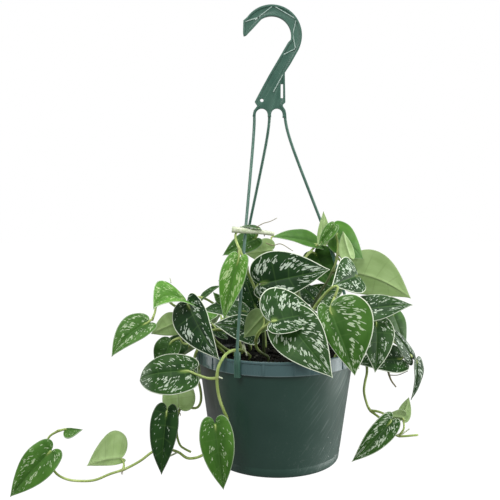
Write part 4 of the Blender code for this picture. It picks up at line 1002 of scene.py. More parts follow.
# The stems round the back and sides: angle from the front, height of their arch over the soil,
# height where they end, and where along them their leaves grow
HIDDEN_VINES = {
    "vine_back_right": (148.0, 34.0, -352.0, (0.12, 0.38, 0.66, 0.94)),
    "vine_back_1": (172.0, 46.0, -424.0, (0.12, 0.36, 0.58, 0.78, 1.0)),
    "vine_back_2": (196.0, 30.0, -366.0, (0.14, 0.42, 0.72, 1.0)),
    "vine_back_3": (228.0, 34.0, -370.0, (0.34, 0.56, 0.78, 1.0)),
    "vine_back_left": (262.0, 24.0, -346.0, (0.2, 0.5, 0.8)),
}
SEED = 7


def hidden_vine(name, angle, rise, end, shares):
    """A stem that arches over the rim and hangs, with leaves to alternate sides of it."""
    draw = random.Random(f"{name} {SEED}")
    root = around_pot(angle, 34.0, 0)
    root.z = soil_height(root.x, root.y)
    course = [(40.0, root.z + rise * 0.7), (56.0, root.z + rise), (76.0, root.z + rise * 0.8),
              (90.0, root.z + rise * 0.2)]
    drop = course[-1][1] - end
    course += [(95.0, end + drop * 0.66), (97.0, end + drop * 0.33), (98.0, end)]
    lean = draw.uniform(-4, 4)
    stem = [around_pot(angle + lean * i / 6, r, z) for i, (r, z) in enumerate(course)]
    path = smooth_path(stem, 4)
    leaves = []
    for i, share in enumerate(shares):
        node = path[round(share * (len(path) - 1))]
        hand = 1 if i % 2 else -1
        outward = (node - Vector((POT_AXIS_X, 0, node.z))).normalized()
        beside = Vector((0, 0, 1)).cross(outward) * hand
        down = 0.25 + 0.75 * share
        heading = (beside * draw.uniform(0.35, 0.65) + outward * (1 - down) * 1.2
                   - Vector((0, 0, 1)) * down + outward * 0.16).normalized()
        base = node + beside * 7 + outward * 9 + Vector((0, 0, 8 if share < 0.5 else 2))
        size = draw.uniform(42, 56)
        face = (outward + Vector((0, 0, 1)) * (1.0 - 0.6 * share)).normalized()
        face = (face - heading * face.dot(heading)).normalized()
        leaves.append({
            "base": base, "tip": base + heading * size, "face": face,
            "stalk": [node, node + beside * 4 + outward * 6 + Vector((0, 0, 6))],
            "form": {"width": draw.uniform(0.62, 0.74), "fold": draw.uniform(0.1, 0.25)},
        })
    return root, stem, leaves


def seen_vine(spec):
    """A stem of the table, with its places turned from the sheet into millimetres."""
    right, toward = spec["root"]
    root = Vector((POT_AXIS_X + right, -toward, 0))
    root.z = soil_height(root.x, root.y)
    stem = [sight(*place) for place in spec["stem"]]
    leaves = []
    for one in spec["leaves"]:
        right, toward, up = one["face"]
        leaves.append({
            "base": sight(*one["base"]), "tip": sight(*one["tip"]),
            "face": Vector((right, -toward, up)).normalized(),
            "stalk": [sight(*place) for place in one["stalk"]],
            "form": one["form"],
        })
    return root, stem, leaves


def all_vines():
    found = {name: seen_vine(spec) for name, spec in VINES.items()}
    for name, spec in HIDDEN_VINES.items():
        found[name] = hidden_vine(name, *spec)
    return found


def nearest(place, paths):
    return min((point for path in paths for point in path), key=lambda p: (p - place).length)


# How each leaf of the table looks: age (0 dark to 1 young and bright), silver (share of flecks),
# rim (strength of its pale margin), pale (0 olive to 1 light under side)
LOOKS = {
    "vine_front_left": (
        (0.14, 0.62, 0.75, 0.6), (0.52, 0.30, 0.35, 0.7), (0.3, 0.5, 0.4, 1.0),
        (0.55, 0.55, 0.2, 0.6), (0.6, 0.3, 0.3, 0.8),
    ),
    "vine_left_hang": (
        (0.3, 0.5, 0.5, 0.92), (0.03, 0.14, 0.15, 0.5), (0.05, 0.5, 0.6, 0.5),
    ),
    "vine_left_up": (
        (0.5, 0.65, 0.3, 0.6), (0.9, 0.6, 0.5, 0.8), (0.3, 0.4, 0.4, 0.95),
        (0.25, 0.2, 0.2, 0.25), (0.0, 0.62, 0.95, 0.5),
    ),
    "vine_mid_left": (
        (0.12, 0.2, 0.2, 0.3), (0.05, 0.3, 0.8, 0.3), (0.0, 0.6, 0.95, 0.4), (0.0, 0.3, 0.3, 0.3),
    ),
    "vine_top_left": (
        (0.15, 0.35, 0.3, 0.7), (0.4, 0.12, 0.25, 0.6), (0.3, 0.4, 0.4, 0.72),
        (0.95, 0.8, 0.3, 0.7), (0.08, 0.2, 0.2, 0.3),
    ),
    "vine_top_mid": (
        (0.55, 0.0, 0.25, 0.6), (0.7, 0.1, 0.3, 0.9), (0.32, 0.0, 0.3, 0.4),
        (0.02, 0.85, 0.95, 0.5),
    ),
    "vine_centre": ((0.08, 0.85, 0.95, 0.5), (0.2, 0.4, 0.4, 0.45), (0.14, 0.8, 0.95, 0.5)),
    "vine_front_right": ((0.42, 0.75, 0.95, 0.6),),
    "vine_crown": (
        (0.2, 0.4, 0.5, 0.4), (0.3, 0.3, 0.4, 0.5), (0.1, 0.5, 0.6, 0.3), (0.15, 0.4, 0.5, 0.4),
        (0.2, 0.5, 0.5, 0.5),
    ),
    "vine_right_top": (
        (0.06, 0.72, 0.9, 0.5), (0.4, 0.4, 0.4, 0.8), (0.6, 0.0, 0.2, 0.7), (0.4, 0.2, 0.3, 0.8),
    ),
    "vine_right": (
        (0.06, 0.5, 0.5, 0.5), (0.3, 0.3, 0.4, 0.6), (0.25, 0.05, 0.2, 0.6), (0.12, 0.5, 0.9, 0.5),
        (0.06, 0.5, 0.8, 0.5), (0.0, 0.85, 0.15, 0.4), (0.0, 0.85, 0.15, 0.3),
    ),
    "vine_right_low": ((0.2, 0.85, 0.6, 0.6), (0.4, 0.4, 0.4, 0.7), (0.4, 0.4, 0.4, 0.6)),
}


# How far up from the soil a stem in the crown's shade is dark, in millimetres
SHADED_STEMS = {
    "vine_mid_left": 60.0, "vine_top_left": 60.0, "vine_top_mid": 100.0, "vine_crown": 90.0,
    "vine_front_right": 60.0, "vine_right_top": 125.0, "vine_right": 50.0, "vine_centre": 20.0,
}


def draw_look(draw):
    """A look for a leaf of the back, from mostly dark to sometimes young."""
    return (
        draw.uniform(0.0, 0.35) if draw.random() < 0.75 else draw.uniform(0.5, 0.85),
        draw.uniform(0.4, 0.8), draw.uniform(0.4, 0.95), draw.uniform(0.45, 0.85),
    )


def make_vine(name, root, stem, leaves):
    """The stem with its stalks as one piece, and each blade as a piece of its own."""
    draw = random.Random(f"{name} looks")
    foot = root - Vector((0, 0, ROOT_DEPTH * 0.8))
    collar = root + Vector((0, 0, ROOT_RISE))
    path = [foot] + spaced_path([collar] + stem, FINE_STEP)
    coarse = [spaced_path([collar] + stem, 2.0)]
    routes = []
    nodes = []
    blades = []
    for i, one in enumerate(leaves):
        blade = Leaf(one["base"], one["tip"], one["face"], phase=PHASE_STEP * i, **one["form"])
        stalk = list(one["stalk"]) or [nearest(one["base"], coarse)]
        stalk[0] = nearest(stalk[0], coarse)
        sunk = blade.surface(0.09, 0.0) - blade.normal(0.09, 0.0) * 0.25
        points = stalk + [one["base"], sunk]
        coarse.append(smooth_path(spaced_path(points, STALK_STEP), 3))
        routes.append(spaced_path(points, FINE_STEP))
        nodes.append(stalk[0])
        blades.append(blade)
    shape = Shape()
    shaded = SHADED_STEMS.get(name, 0.0)

    def swelling(point):
        return sum(math.exp(-((point - node).length / NODE_REACH) ** 2) for node in nodes)

    swollen = [min(1.0, swelling(point)) for point in path]
    radii = [
        STEM_RADIUS * (1 - 0.3 * i / len(path)) * (1 + NODE_SWELL * swollen[i])
        for i in range(len(path))
    ]
    points, faces = tube(path, radii, STEM_SIDES)
    shape.add(points, faces, 0, marks={
        "node": [s for s in swollen for k in range(STEM_SIDES)],
        "shade": [
            ease(shaded, shaded * 0.6, i * FINE_STEP) if shaded else 0.0
            for i in range(len(path)) for k in range(STEM_SIDES)
        ],
    })
    for route in routes:
        count = len(route) - 1
        radii = []
        for i in range(count + 1):
            share = i / count
            radius = STALK_RADIUS * (1 + SHEATH_SWELL * ease(0.45, 0.0, share))
            radii.append(radius * (1 - STALK_TAPER * ease(0.8, 1.0, share)))
        points, faces = tube(route, radii, STALK_SIDES, STALK_FLATTEN)
        near = [0.6 * ease(0.15, 0.0, i / count) for i in range(count + 1)]
        deep = 0.75 if shaded and (route[0] - root).length < shaded * 0.8 else 0.0
        shape.add(points, faces, 0, marks={
            "node": [s for s in near for k in range(STALK_SIDES)],
            "shade": [deep] * (len(route) * STALK_SIDES),
        })
    for node in nodes:
        for k in range(draw.choice((0, 1, 1, 2))):
            turn = draw.uniform(0, 2 * math.pi)
            reach = draw.uniform(2.5, 5.0)
            out = Vector((math.cos(turn), math.sin(turn), draw.uniform(-1.2, 0.2))).normalized()
            bend = out * reach * 0.6 + Vector((0, 0, -1)) * reach * 0.5
            points, faces = tube(
                spaced_path([node, node + out * reach * 0.5, node + bend], 0.9),
                [0.55, 0.5, 0.45, 0.4, 0.35, 0.3, 0.3, 0.3, 0.3, 0.3, 0.3, 0.3], NUB_SIDES)
            shape.add(points, faces, 1)
    body = shape.build(name + "_stem", (STEM_SKIN, ROOT_SKIN))
    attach(body, "root")
    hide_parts(name)
    for i, blade in enumerate(blades):
        age, silver, rim, pale = LOOKS[name][i] if name in LOOKS else draw_look(draw)
        shape = Shape()
        blade.add_to(shape, BLADE_ROWS, {
            "age": age, "silver": silver, "rim": rim, "pale": pale, "seed": draw.random()})
        made = shape.build(f"{name}_leaf_{i}", (LEAF_TOP, LEAF_UNDER))
        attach(made, "root")


STEM_SIDES = 12
STALK_SIDES = 10
NUB_SIDES = 6
NODE_REACH = 2.4
NODE_SWELL = 0.28
SHEATH_SWELL = 0.3
STALK_TAPER = 0.55
STALK_FLATTEN = 0.85


# The pot and the soil

def around_pot(angle, radius, height):
    """A place by its angle from the front, turning toward +X, and its distance from the axis."""
    turn = math.radians(angle)
    return Vector((POT_AXIS_X + radius * math.sin(turn), -radius * math.cos(turn), height))


def wall_radius(height):
    """The outer radius of the pot's tapered wall at this height."""
    share = (height - POT_BOTTOM_Z) / (BAND_BOTTOM_Z - POT_BOTTOM_Z)
    return POT_FOOT_RADIUS + (POT_NECK_RADIUS - POT_FOOT_RADIUS) * share


def soil_height(x, y):
    """The soil's surface: a low mound with shallow lumps."""
    share = min(1.0, math.hypot(x - POT_AXIS_X, y) / (POT_NECK_RADIUS - POT_WALL))
    lumps = math.sin(0.23 * x + 1.0) * math.cos(0.19 * y) + 0.6 * math.sin(0.41 * y + 0.3 * x)
    edge = BAND_TOP_Z - SOIL_EDGE_DROP - SOIL_MOUND
    return edge + SOIL_MOUND * (1 - share * share) + SOIL_LUMPS * lumps * (1 - share ** 4)


def lathe(name, profile, sides, look, relief=None):
    """A turned body; the profile of (radius, height) runs from the axis to the axis."""
    points = []
    faces = []
    rings = []
    for radius, height in profile:
        if radius == 0.0:
            rings.append([len(points)])
            points.append(Vector((POT_AXIS_X, 0, height)))
        else:
            rings.append(list(range(len(points), len(points) + sides)))
            for k in range(sides):
                turn = 2 * math.pi * k / sides
                point = Vector((radius * math.cos(turn), radius * math.sin(turn), height))
                points.append(point + Vector((POT_AXIS_X, 0, 0)))
    if relief:
        points = [relief(p) for p in points]
    for lower, upper in zip(rings, rings[1:]):
        for k in range(sides):
            corners = [
                lower[k % len(lower)], lower[(k + 1) % len(lower)],
                upper[(k + 1) % len(upper)], upper[k % len(upper)],
            ]
            faces.append(tuple(dict.fromkeys(corners)))
    shape = Shape()
    shape.add(points, faces)
    made = shape.build(name, (look,))
    face_outward(made)
    return made


def box(name, size, place, turn, look):
    """A box of this size, centred on place and turned about the vertical."""
    x, y, z = (s / 2 for s in size)
    spin = Matrix.Rotation(turn, 3, "Z")
    corners = [
        place + spin @ Vector((sx * x, sy * y, sz * z))
        for sz in (-1, 1) for sy in (-1, 1) for sx in (-1, 1)
    ]
    faces = [(0, 1, 3, 2), (4, 6, 7, 5), (0, 4, 5, 1), (2, 3, 7, 6), (0, 2, 6, 4), (1, 5, 7, 3)]
    shape = Shape()
    shape.add(corners, faces)
    made = shape.build(name, (look,))
    face_outward(made)
    return made


def make_pot():
    outer = [(0.0, POT_BOTTOM_Z + 0.8), (POT_FOOT_RADIUS - 9.0, POT_BOTTOM_Z + 0.8)]
    outer += [(POT_FOOT_RADIUS - 8.0, POT_BOTTOM_Z)]
    for i in range(7):
        turn = math.radians(15 * i)
        height = POT_BOTTOM_Z + FOOT_ROUND * (1 - math.cos(turn))
        outer.append((wall_radius(height) - FOOT_ROUND * (1 - math.sin(turn)), height))
    step_z = POT_BOTTOM_Z + FOOT_STEP_HEIGHT
    outer += [
        (wall_radius(step_z - 0.6), step_z - 0.6),
        (wall_radius(step_z) - 0.35, step_z),
        (wall_radius(step_z + 0.6) - 0.35, step_z + 0.6),
        (wall_radius(step_z + 4.0), step_z + 4.0),
        (POT_NECK_RADIUS - 0.25, BAND_BOTTOM_Z - 1.5),
        (POT_NECK_RADIUS, BAND_BOTTOM_Z - 0.2),
        (POT_BAND_RADIUS - 0.5, BAND_BOTTOM_Z),
        (POT_BAND_RADIUS, BAND_BOTTOM_Z + 0.5),
        (POT_BAND_RADIUS, BAND_TOP_Z - LIP_HEIGHT - 0.3),
        (POT_BAND_RADIUS + LIP_OVERHANG, BAND_TOP_Z - LIP_HEIGHT),
        (POT_BAND_RADIUS + LIP_OVERHANG, BAND_TOP_Z - 0.6),
        (POT_BAND_RADIUS + LIP_OVERHANG - 0.5, BAND_TOP_Z),
    ]
    floor = POT_BOTTOM_Z + POT_WALL
    inner = [
        (POT_BAND_RADIUS - POT_WALL + 0.4, BAND_TOP_Z),
        (POT_BAND_RADIUS - POT_WALL, BAND_TOP_Z - 0.5),
        (POT_BAND_RADIUS - POT_WALL, BAND_BOTTOM_Z + POT_WALL),
        (wall_radius(BAND_BOTTOM_Z + POT_WALL) - POT_WALL, BAND_BOTTOM_Z + POT_WALL),
        (wall_radius(floor) - POT_WALL, floor),
        (0.0, floor),
    ]
    pot = lathe("pot_shell", outer + inner, POT_SIDES, POT_PLASTIC)
    ribs = []
    rib_height = BAND_TOP_Z - LIP_HEIGHT - BAND_BOTTOM_Z
    for i in range(BAND_RIBS):
        angle = 360 / BAND_RIBS * (i + 0.5)
        place = around_pot(angle, POT_BAND_RADIUS, BAND_BOTTOM_Z + rib_height / 2 + 0.2)
        size = (RIB_WIDTH, 2 * RIB_PROUD, rib_height - 0.8)
        rib = box(f"rib_{i}", size, place, math.radians(angle), POT_PLASTIC)
        bevel(rib, 0.35, 2, 40)
        ribs.append(rib)
    boolean(pot, ribs, "UNION")
    drains = []
    for i in range(DRAIN_HOLES):
        place = around_pot(60 * i + 30, DRAIN_RING_RADIUS, POT_BOTTOM_Z)
        path = [place - Vector((0, 0, 5)), place + Vector((0, 0, 5))]
        points, faces = tube(path, [DRAIN_RADIUS] * 2, 24)
        shape = Shape()
        shape.add(points, faces)
        drain = shape.build(f"drain_{i}", (POT_PLASTIC,))
        face_outward(drain)
        drains.append(drain)
    boolean(pot, drains, "DIFFERENCE")
    smooth_by_angle(pot, 32)
    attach(pot, "root")
    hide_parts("pot")


def make_soil():
    floor = POT_BOTTOM_Z + POT_WALL + SOIL_GAP
    edge = BAND_TOP_Z - SOIL_EDGE_DROP - SOIL_MOUND
    side = POT_WALL + 1.5 * SOIL_GAP
    rim_radius = wall_radius(edge) - side
    profile = [(0.0, floor), (wall_radius(floor) - side, floor), (rim_radius, edge - 0.5)]
    profile += [
        (rim_radius * (1 - i / SOIL_RINGS), edge + 1.0) for i in range(SOIL_RINGS)
    ] + [(0.0, edge + 1.0)]

    def relief(point):
        if point.z <= edge:
            return point
        fine = noise.noise(Vector((point.x, point.y, 0)) * 0.35) * 1.1
        fine += noise.noise(Vector((point.x, point.y, 7)) * 1.1) * 0.7
        inner = 1 - (math.hypot(point.x - POT_AXIS_X, point.y) / rim_radius) ** 8
        return Vector((point.x, point.y, soil_height(point.x, point.y) + fine * inner))

    soil = lathe("soil_fill", profile, SOIL_SIDES, SOIL, relief)
    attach(soil, "root")
    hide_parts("soil")
    draw = random.Random("crumbs")
    shape = Shape()
    work = bmesh.new()
    bmesh.ops.create_icosphere(work, subdivisions=2, radius=1.0)
    ball = [v.co.copy() for v in work.verts]
    ball_faces = [tuple(v.index for v in f.verts) for f in work.faces]
    work.free()
    for i in range(SOIL_CRUMBS):
        radius = (rim_radius - 3.0) * math.sqrt(draw.random())
        turn = draw.uniform(0, 2 * math.pi)
        x = POT_AXIS_X + radius * math.cos(turn)
        y = radius * math.sin(turn)
        kind = draw.choices((0, 1, 2), (0.5, 0.42, 0.08))[0]
        size = draw.uniform(0.8, 2.6) * (0.7 if kind == 2 else 1.0)
        stretch = Vector((draw.uniform(0.7, 1.5), draw.uniform(0.7, 1.2), draw.uniform(0.4, 0.8)))
        spin = Matrix.Rotation(draw.uniform(0, 6.28), 3, "Z") @ Matrix.Rotation(
            draw.uniform(-0.5, 0.5), 3, "X")
        centre = Vector((x, y, soil_height(x, y) + size * 0.25))
        shift = Vector((draw.uniform(-50, 50), draw.uniform(-50, 50), 0))
        points = []
        for p in ball:
            lump = 1 + 0.35 * noise.noise(p * 1.3 + shift)
            points.append(centre + spin @ Vector(
                (p.x * stretch.x, p.y * stretch.y, p.z * stretch.z)) * size * lump)
        shape.add(points, ball_faces, kind)
    crumbs = shape.build("soil_crumbs", CRUMBS)
    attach(crumbs, "root")


FOOT_STEP_HEIGHT = 9.0


# The hanger

SHANK_BACK = (
    (26.0, -34.5), (19.5, -46.0), (13.6, -55.0), (14.2, -84.0), (11.8, -86.0), (11.8, -88.0),
    (14.4, -92.0), (15.4, -99.0),
)
SHANK_FRONT = (
    (-18.2, -97.5), (-17.0, -92.0), (-13.4, -87.5), (-16.0, -83.5), (-11.0, -74.0), (-2.0, -57.5),
    (9.0, -39.0), (16.6, -26.0),
)
HOOK_OUTER_FROM, HOOK_OUTER_TO = 143.0, -28.0
HOOK_INNER_FROM, HOOK_INNER_TO = -15.0, 122.0
HOOK_TIP = ((-16.4, -10.2), (-24.6, -18.7), (-27.0, -19.4), (-27.6, -16.0), (-27.4, -5.0))
STRAND_ARCHES = ((-9.1, 11.8), (5.9, 11.4))
ARCH_FOOT_Z = -101.0
ARCH_TOP_Z = -90.0
PLATE_HOLE = (-9.0, -82.0, 1.7)
PLATE_SLOT = (9.6, 12.0, -80.0, -66.0)
STRAND_COURSE = (
    (0.0, -94.0), (0.02, -106.0), (0.08, -122.0), (0.2, -146.0), (0.36, -176.0), (0.53, -208.0),
    (0.7, -244.0), (0.85, -280.0), (0.96, -306.0), (1.0, -320.0), (1.0, -330.0),
)
STRAND_HEADS = (-16.2, 13.6, -1.2)

# The low ribs on the plate's faces, each from one place to another, as (across, height)
PLATE_RIBS = (
    ((-26.6, -6.4), (-12.0, -1.4)), ((-15.9, -4.4), (1.6, 9.4)), ((2.2, 9.4), (24.4, -3.4)),
    ((24.6, -3.6), (21.3, -18.0)), ((21.3, -18.4), (23.9, -31.4)), ((23.6, -32.1), (11.2, -38.0)),
    ((14.4, -52.4), (2.1, -74.2)),
)
RIB_HALF = 0.6
RIB_TOP = 0.2


def hook_outline(arc_steps=3):
    """The plate's outline, once round, as (across, height)."""
    points = []
    outer_count = 22 * arc_steps
    for i in range(outer_count + 1):
        turn = math.radians(HOOK_OUTER_FROM + (HOOK_OUTER_TO - HOOK_OUTER_FROM) * i / outer_count)
        points.append((HOOK_CENTRE[0] + HOOK_OUTER * math.cos(turn),
                       HOOK_CENTRE[1] + HOOK_OUTER * math.sin(turn)))
    points += list(SHANK_BACK) + list(SHANK_FRONT)
    inner_count = 18 * arc_steps
    for i in range(1, inner_count + 1):
        turn = math.radians(HOOK_INNER_FROM + (HOOK_INNER_TO - HOOK_INNER_FROM) * i / inner_count)
        points.append((HOOK_CENTRE[0] + HOOK_INNER * math.cos(turn),
                       HOOK_CENTRE[1] + HOOK_INNER * math.sin(turn)))
    return points + list(HOOK_TIP)


def upright_plate(name, outline, thickness, look):
    """A plate that faces the front, extruded from its outline."""
    count = len(outline)
    points = [Vector((x, -thickness / 2, z)) for x, z in outline]
    points += [Vector((x, thickness / 2, z)) for x, z in outline]
    faces = [tuple(range(count)), tuple(reversed(range(count, 2 * count)))]
    faces += [(i, i + count, (i + 1) % count + count, (i + 1) % count) for i in range(count)]
    shape = Shape()
    shape.add(points, faces)
    made = shape.build(name, (look,))
    face_outward(made)
    return made


def inset(outline, distance):
    """The outline moved inward; its points run clockwise as seen from the front."""
    moved = []
    count = len(outline)
    for i in range(count):
        x0, z0 = outline[i - 1]
        x1, z1 = outline[i]
        x2, z2 = outline[(i + 1) % count]
        before = Vector((x1 - x0, z1 - z0)).normalized()
        after = Vector((x2 - x1, z2 - z1)).normalized()
        inward = Vector((before.y, -before.x)) + Vector((after.y, -after.x))
        reach = distance / max(0.5, inward.length / 2)
        inward.normalize()
        moved.append((x1 + inward.x * reach, z1 + inward.y * reach))
    return moved


def border(name, outline, width, thickness, look):
    """A band that follows the outline on its inside."""
    inner = inset(outline, width)
    count = len(outline)
    points = []
    for ring in (outline, inner):
        points += [Vector((x, -thickness / 2, z)) for x, z in ring]
        points += [Vector((x, thickness / 2, z)) for x, z in ring]
    faces = []
    for i in range(count):
        j = (i + 1) % count
        corners = [(0, 1), (1, 3), (3, 2), (2, 0)]
        for a, b in corners:
            faces.append((a * count + i, a * count + j, b * count + j, b * count + i))
    shape = Shape()
    shape.add(points, faces)
    made = shape.build(name, (look,))
    face_outward(made)
    return made


def strand_path(head, angle):
    """A strand's centreline, from the foot of the hook plate to its clip on the rim."""
    start = Vector((head, 0, 0))
    end = around_pot(angle, POT_BAND_RADIUS + LIP_OVERHANG + SOIL_GAP + STRAND_RADIUS, 0)
    return [start.lerp(end, share) + Vector((0, 0, height)) for share, height in STRAND_COURSE]


def make_plate_ribs():
    """The zigzag ribs on both faces of the hook plate, drawn lighter than the plate."""
    shape = Shape()
    for (x0, z0), (x1, z1) in PLATE_RIBS:
        along = Vector((x1 - x0, z1 - z0)).normalized()
        beside = Vector((-along.y, along.x)) * RIB_HALF
        foot = WEB_THICKNESS / 2 - RIB_TOP
        for face in (-1, 1):
            points = []
            for depth, share in ((foot, 1.0), (PLATE_THICKNESS / 2 - RIB_TOP, 0.7)):
                for x, z in ((x0, z0), (x1, z1)):
                    for hand in (-share, share):
                        points.append(Vector((x + hand * beside.x, face * depth, z + hand * beside.y)))
            shape.add(points, [
                (0, 1, 3, 2), (4, 6, 7, 5), (0, 4, 5, 1), (1, 5, 7, 3), (3, 7, 6, 2), (2, 6, 4, 0),
            ])
    made = shape.build("hanger_plate_ribs", (HANGER_EDGE,), smooth=False)
    face_outward(made)
    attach(made, "root")


def make_hanger():
    look = HANGER_PLASTIC
    outline = hook_outline()
    hanger = upright_plate("hanger_moulding", outline, WEB_THICKNESS, look)
    cutters = []
    for centre, width in STRAND_ARCHES:
        arch = [(centre + width / 2, ARCH_FOOT_Z), (centre - width / 2, ARCH_FOOT_Z)]
        for i in range(13):
            turn = math.radians(180 - 15 * i)
            arch.append((centre + width / 2 * math.cos(turn),
                         ARCH_TOP_Z - width / 2 + width / 2 * math.sin(turn)))
        cutters.append(upright_plate("arch", arch, 3 * PLATE_THICKNESS, look))
    x, z, radius = PLATE_HOLE
    ring = [(x + radius * math.cos(math.pi * i / 10), z + radius * math.sin(math.pi * i / 10))
            for i in range(20)]
    cutters.append(upright_plate("eyelet", ring, 3 * PLATE_THICKNESS, look))
    left, right, low, high = PLATE_SLOT
    slot = [(left, low), (right, low), (right, high), (left, high)]
    cutters.append(upright_plate("slot", slot, 3 * PLATE_THICKNESS, look))
    pieces = [border("border", outline, 1.9, PLATE_THICKNESS, look)]
    for head, angle in zip(STRAND_HEADS, CLIP_ANGLES):
        path = spaced_path(strand_path(head, angle), 4.0)
        points, faces = tube(path, [STRAND_LOOK_RADIUS] * len(path), 16)
        shape = Shape()
        shape.add(points, faces)
        strand = shape.build("strand", (look,))
        face_outward(strand)
        pieces.append(strand)
        turn = math.radians(angle)
        radius = POT_BAND_RADIUS + LIP_OVERHANG + SOIL_GAP + CLIP_DEPTH / 2
        foot = BAND_BOTTOM_Z - SOIL_GAP - CLIP_TOOTH
        place = around_pot(angle, radius, foot + CLIP_HEIGHT / 2)
        pieces.append(box("clip", (CLIP_LOOK_WIDTH, CLIP_DEPTH, CLIP_HEIGHT), place, turn, look))
        for shift in (-1.8, 0.0, 1.8):
            aside = Vector((math.cos(turn), math.sin(turn), 0)) * shift
            lane = around_pot(angle, radius + CLIP_DEPTH / 2, foot + CLIP_HEIGHT / 2) + aside
            pieces.append(box("ridge", (0.9, 0.7, CLIP_HEIGHT - 1.4), lane, turn, look))
        inner = POT_NECK_RADIUS + 2 * SOIL_GAP
        outer = radius
        place = around_pot(angle, (inner + outer) / 2, foot + CLIP_TOOTH / 2)
        size = (CLIP_LOOK_WIDTH - 0.4, outer - inner, CLIP_TOOTH)
        pieces.append(box("tooth", size, place, turn, look))
    boolean(hanger, pieces, "UNION")
    boolean(hanger, cutters, "DIFFERENCE")
    bevel(hanger, 0.35, 2, 50)
    smooth_by_angle(hanger, 40)
    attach(hanger, "root")
    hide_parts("hanger")


# The stage

CAMERA_PLACE = (-0.0207, -0.676, -0.1912)
SENSOR = 36.0
FLOOR_Z = -0.62
ROOM_LIGHT = 0.3


def make_stage():
    lens = bpy.data.cameras.new("camera")
    lens.sensor_width = SENSOR
    lens.lens = SHEET_DISTANCE / (2 * SHEET_MIDDLE) * SENSOR
    camera = bpy.data.objects.new("camera", lens)
    camera.location = CAMERA_PLACE
    camera.rotation_euler = (math.radians(90) - EYE_TILT, 0, 0)
    bpy.context.scene.collection.objects.link(camera)
    bpy.context.scene.camera = camera
    world = bpy.data.worlds.new("studio")
    world.use_nodes = True
    background = world.node_tree.nodes["Background"]
    background.inputs["Color"].default_value = (1.0, 1.0, 1.0, 1.0)
    strength = world.node_tree.nodes.new("ShaderNodeMapRange")
    rays = world.node_tree.nodes.new("ShaderNodeLightPath")
    world.node_tree.links.new(rays.outputs["Is Camera Ray"], strength.inputs["Value"])
    strength.inputs["To Min"].default_value = ROOM_LIGHT
    world.node_tree.links.new(strength.outputs[0], background.inputs["Strength"])
    bpy.context.scene.world = world
    bpy.context.scene.view_settings.view_transform = "Standard"
    shape = Shape()
    count = 96
    shape.add(
        [Vector((9000 * math.cos(2 * math.pi * i / count), 9000 * math.sin(2 * math.pi * i / count),
                 FLOOR_Z / MM)) for i in range(count)],
        [tuple(range(count))])
    floor_look = Look("floor", 0.8)
    floor_look.set("Base Color", (0.05, 0.05, 0.05))
    floor_look.set("Specular IOR Level", 0.0)
    floor_look.set("Emission Color", (1.0, 1.0, 1.0))
    floor_look.set("Emission Strength", 1.0)
    floor = shape.build("floor", (floor_look.material,), smooth=False)
    floor.visible_diffuse = False
    floor.visible_glossy = False
    for name, place, size, power in (
        ("key", (-0.5, -1.1, 0.9), 0.7, 16.0),
        ("fill", (1.1, -0.8, 0.1), 0.5, 6.0),
        ("top", (0.1, 0.2, 1.1), 0.9, 14.0),
        ("right_side", (1.2, 0.18, -0.35), 0.9, 16.0),
        ("left_side", (-1.2, 0.25, -0.3), 0.7, 6.0),
    ):
        light = bpy.data.lights.new(name, "AREA")
        light.energy = power
        light.size = size
        holder = bpy.data.objects.new(name, light)
        holder.location = place
        aim = Vector((0.0, 0.0, -0.3)) - Vector(place)
        holder.rotation_euler = aim.to_track_quat("-Z", "Y").to_euler()
        bpy.context.scene.collection.objects.link(holder)


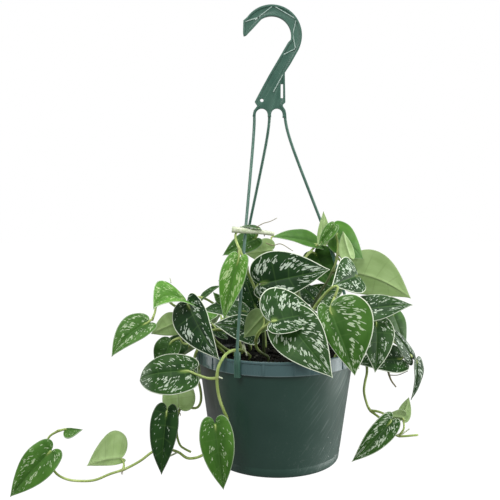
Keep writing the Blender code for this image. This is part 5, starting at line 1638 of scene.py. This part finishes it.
# Small shoots and twigs, each by its look, its width and the places that it passes through
TWIGS = (
    ("pale", 2.9, ((232, 229.5, 50), (242, 230.5, 49), (257, 231.5, 45), (274, 234, 42))),
    ("dry", 0.45, ((256, 227.5, 44), (263, 223.5, 44), (270, 221.5, 44), (277, 218, 44))),
    ("dry", 0.5, ((266, 243, 24), (273, 245.5, 24), (281, 244, 24), (293, 251, 22))),
    ("green", 1.1, ((274, 235.5, 8), (271.5, 237.5, 9), (271.5, 242, 10))),
    ("pale", 1.0, ((178, 452, 45), (172, 455, 47), (165, 458, 48))),
    ("pale", 0.9, ((217, 377, 73), (220, 377.5, 74), (222.5, 378.5, 75))),
    ("pale", 1.1, ((243, 350, 34), (243.5, 344, 37), (245, 349, 39), (247, 356, 40))),
    ("dry", 1.1, ((388, 371, 20), (391, 380, 20), (396, 387, 20))),
    ("dry", 0.5, ((388, 375, 20), (398, 375, 18), (408, 371, 16))),
    ("pale", 0.9, ((399, 436, 24), (405, 432, 24), (410, 428.5, 24))),
    ("pale", 0.8, ((397, 436, 24), (404, 429, 23), (404.5, 419, 22))),
    ("pale", 0.5, ((171, 283, 52), (170.5, 280, 52), (169.8, 277.5, 52))),
)
SMALL_LEAVES = (
    ((0.4, 0.3, 0.2, 0.4), leaf((221, 302, 10), (213, 292, 14), (-0.1, 0.8, 0.5), width=0.6)),
    ((0.7, 0.5, 0.2, 0.7), leaf((334, 226, 9), (318, 248, 6), (-0.2, 0.9, 0.3), width=0.5)),
    ((0.1, 0.1, 0.1, 0.3), leaf((183, 343, 12), (155, 357, 14), (0.0, 0.85, 0.5), width=0.7)),
    ((0.0, 0.3, 0.2, 0.3), leaf((225, 334, -14), (203, 329, -6), (0.0, 0.6, 0.8), width=0.8)),
    ((0.0, 0.3, 0.2, 0.3), leaf((314, 299, -16), (299, 284, -26), (0.0, 0.9, 0.4), width=0.9)),
)


def make_twigs():
    looks = {"pale": 0, "green": 1, "dry": 2}
    shape = Shape()
    for kind, radius, places in TWIGS:
        path = spaced_path([sight(*place) for place in places], 1.2)
        radii = [radius * (1 - 0.35 * i / len(path)) for i in range(len(path))]
        points, faces = tube(path, radii, STALK_SIDES)
        shape.add(points, faces, looks[kind])
    made = shape.build("small_twigs", (PALE_SKIN, STEM_SKIN, ROOT_SKIN))
    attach(made, "root")
    for i, ((age, silver, rim, pale), spec) in enumerate(SMALL_LEAVES):
        right, toward, up = spec["face"]
        blade = Leaf(sight(*spec["base"]), sight(*spec["tip"]),
                     Vector((right, -toward, up)).normalized(), **spec["form"])
        shape = Shape()
        blade.add_to(shape, BLADE_ROWS, {
            "age": age, "silver": silver, "rim": rim, "pale": pale, "seed": 0.37 * (i + 1)})
        made = shape.build(f"small_leaf_{i}", (LEAF_TOP, LEAF_UNDER))
        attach(made, "root")


def main():
    make_stage()
    make_twigs()
    for name, (root, stem, leaves) in all_vines().items():
        make_vine(name, root, stem, leaves)
    make_pot()
    make_soil()
    make_hanger()
    make_plate_ribs()


main()
bpy.context.view_layer.update()
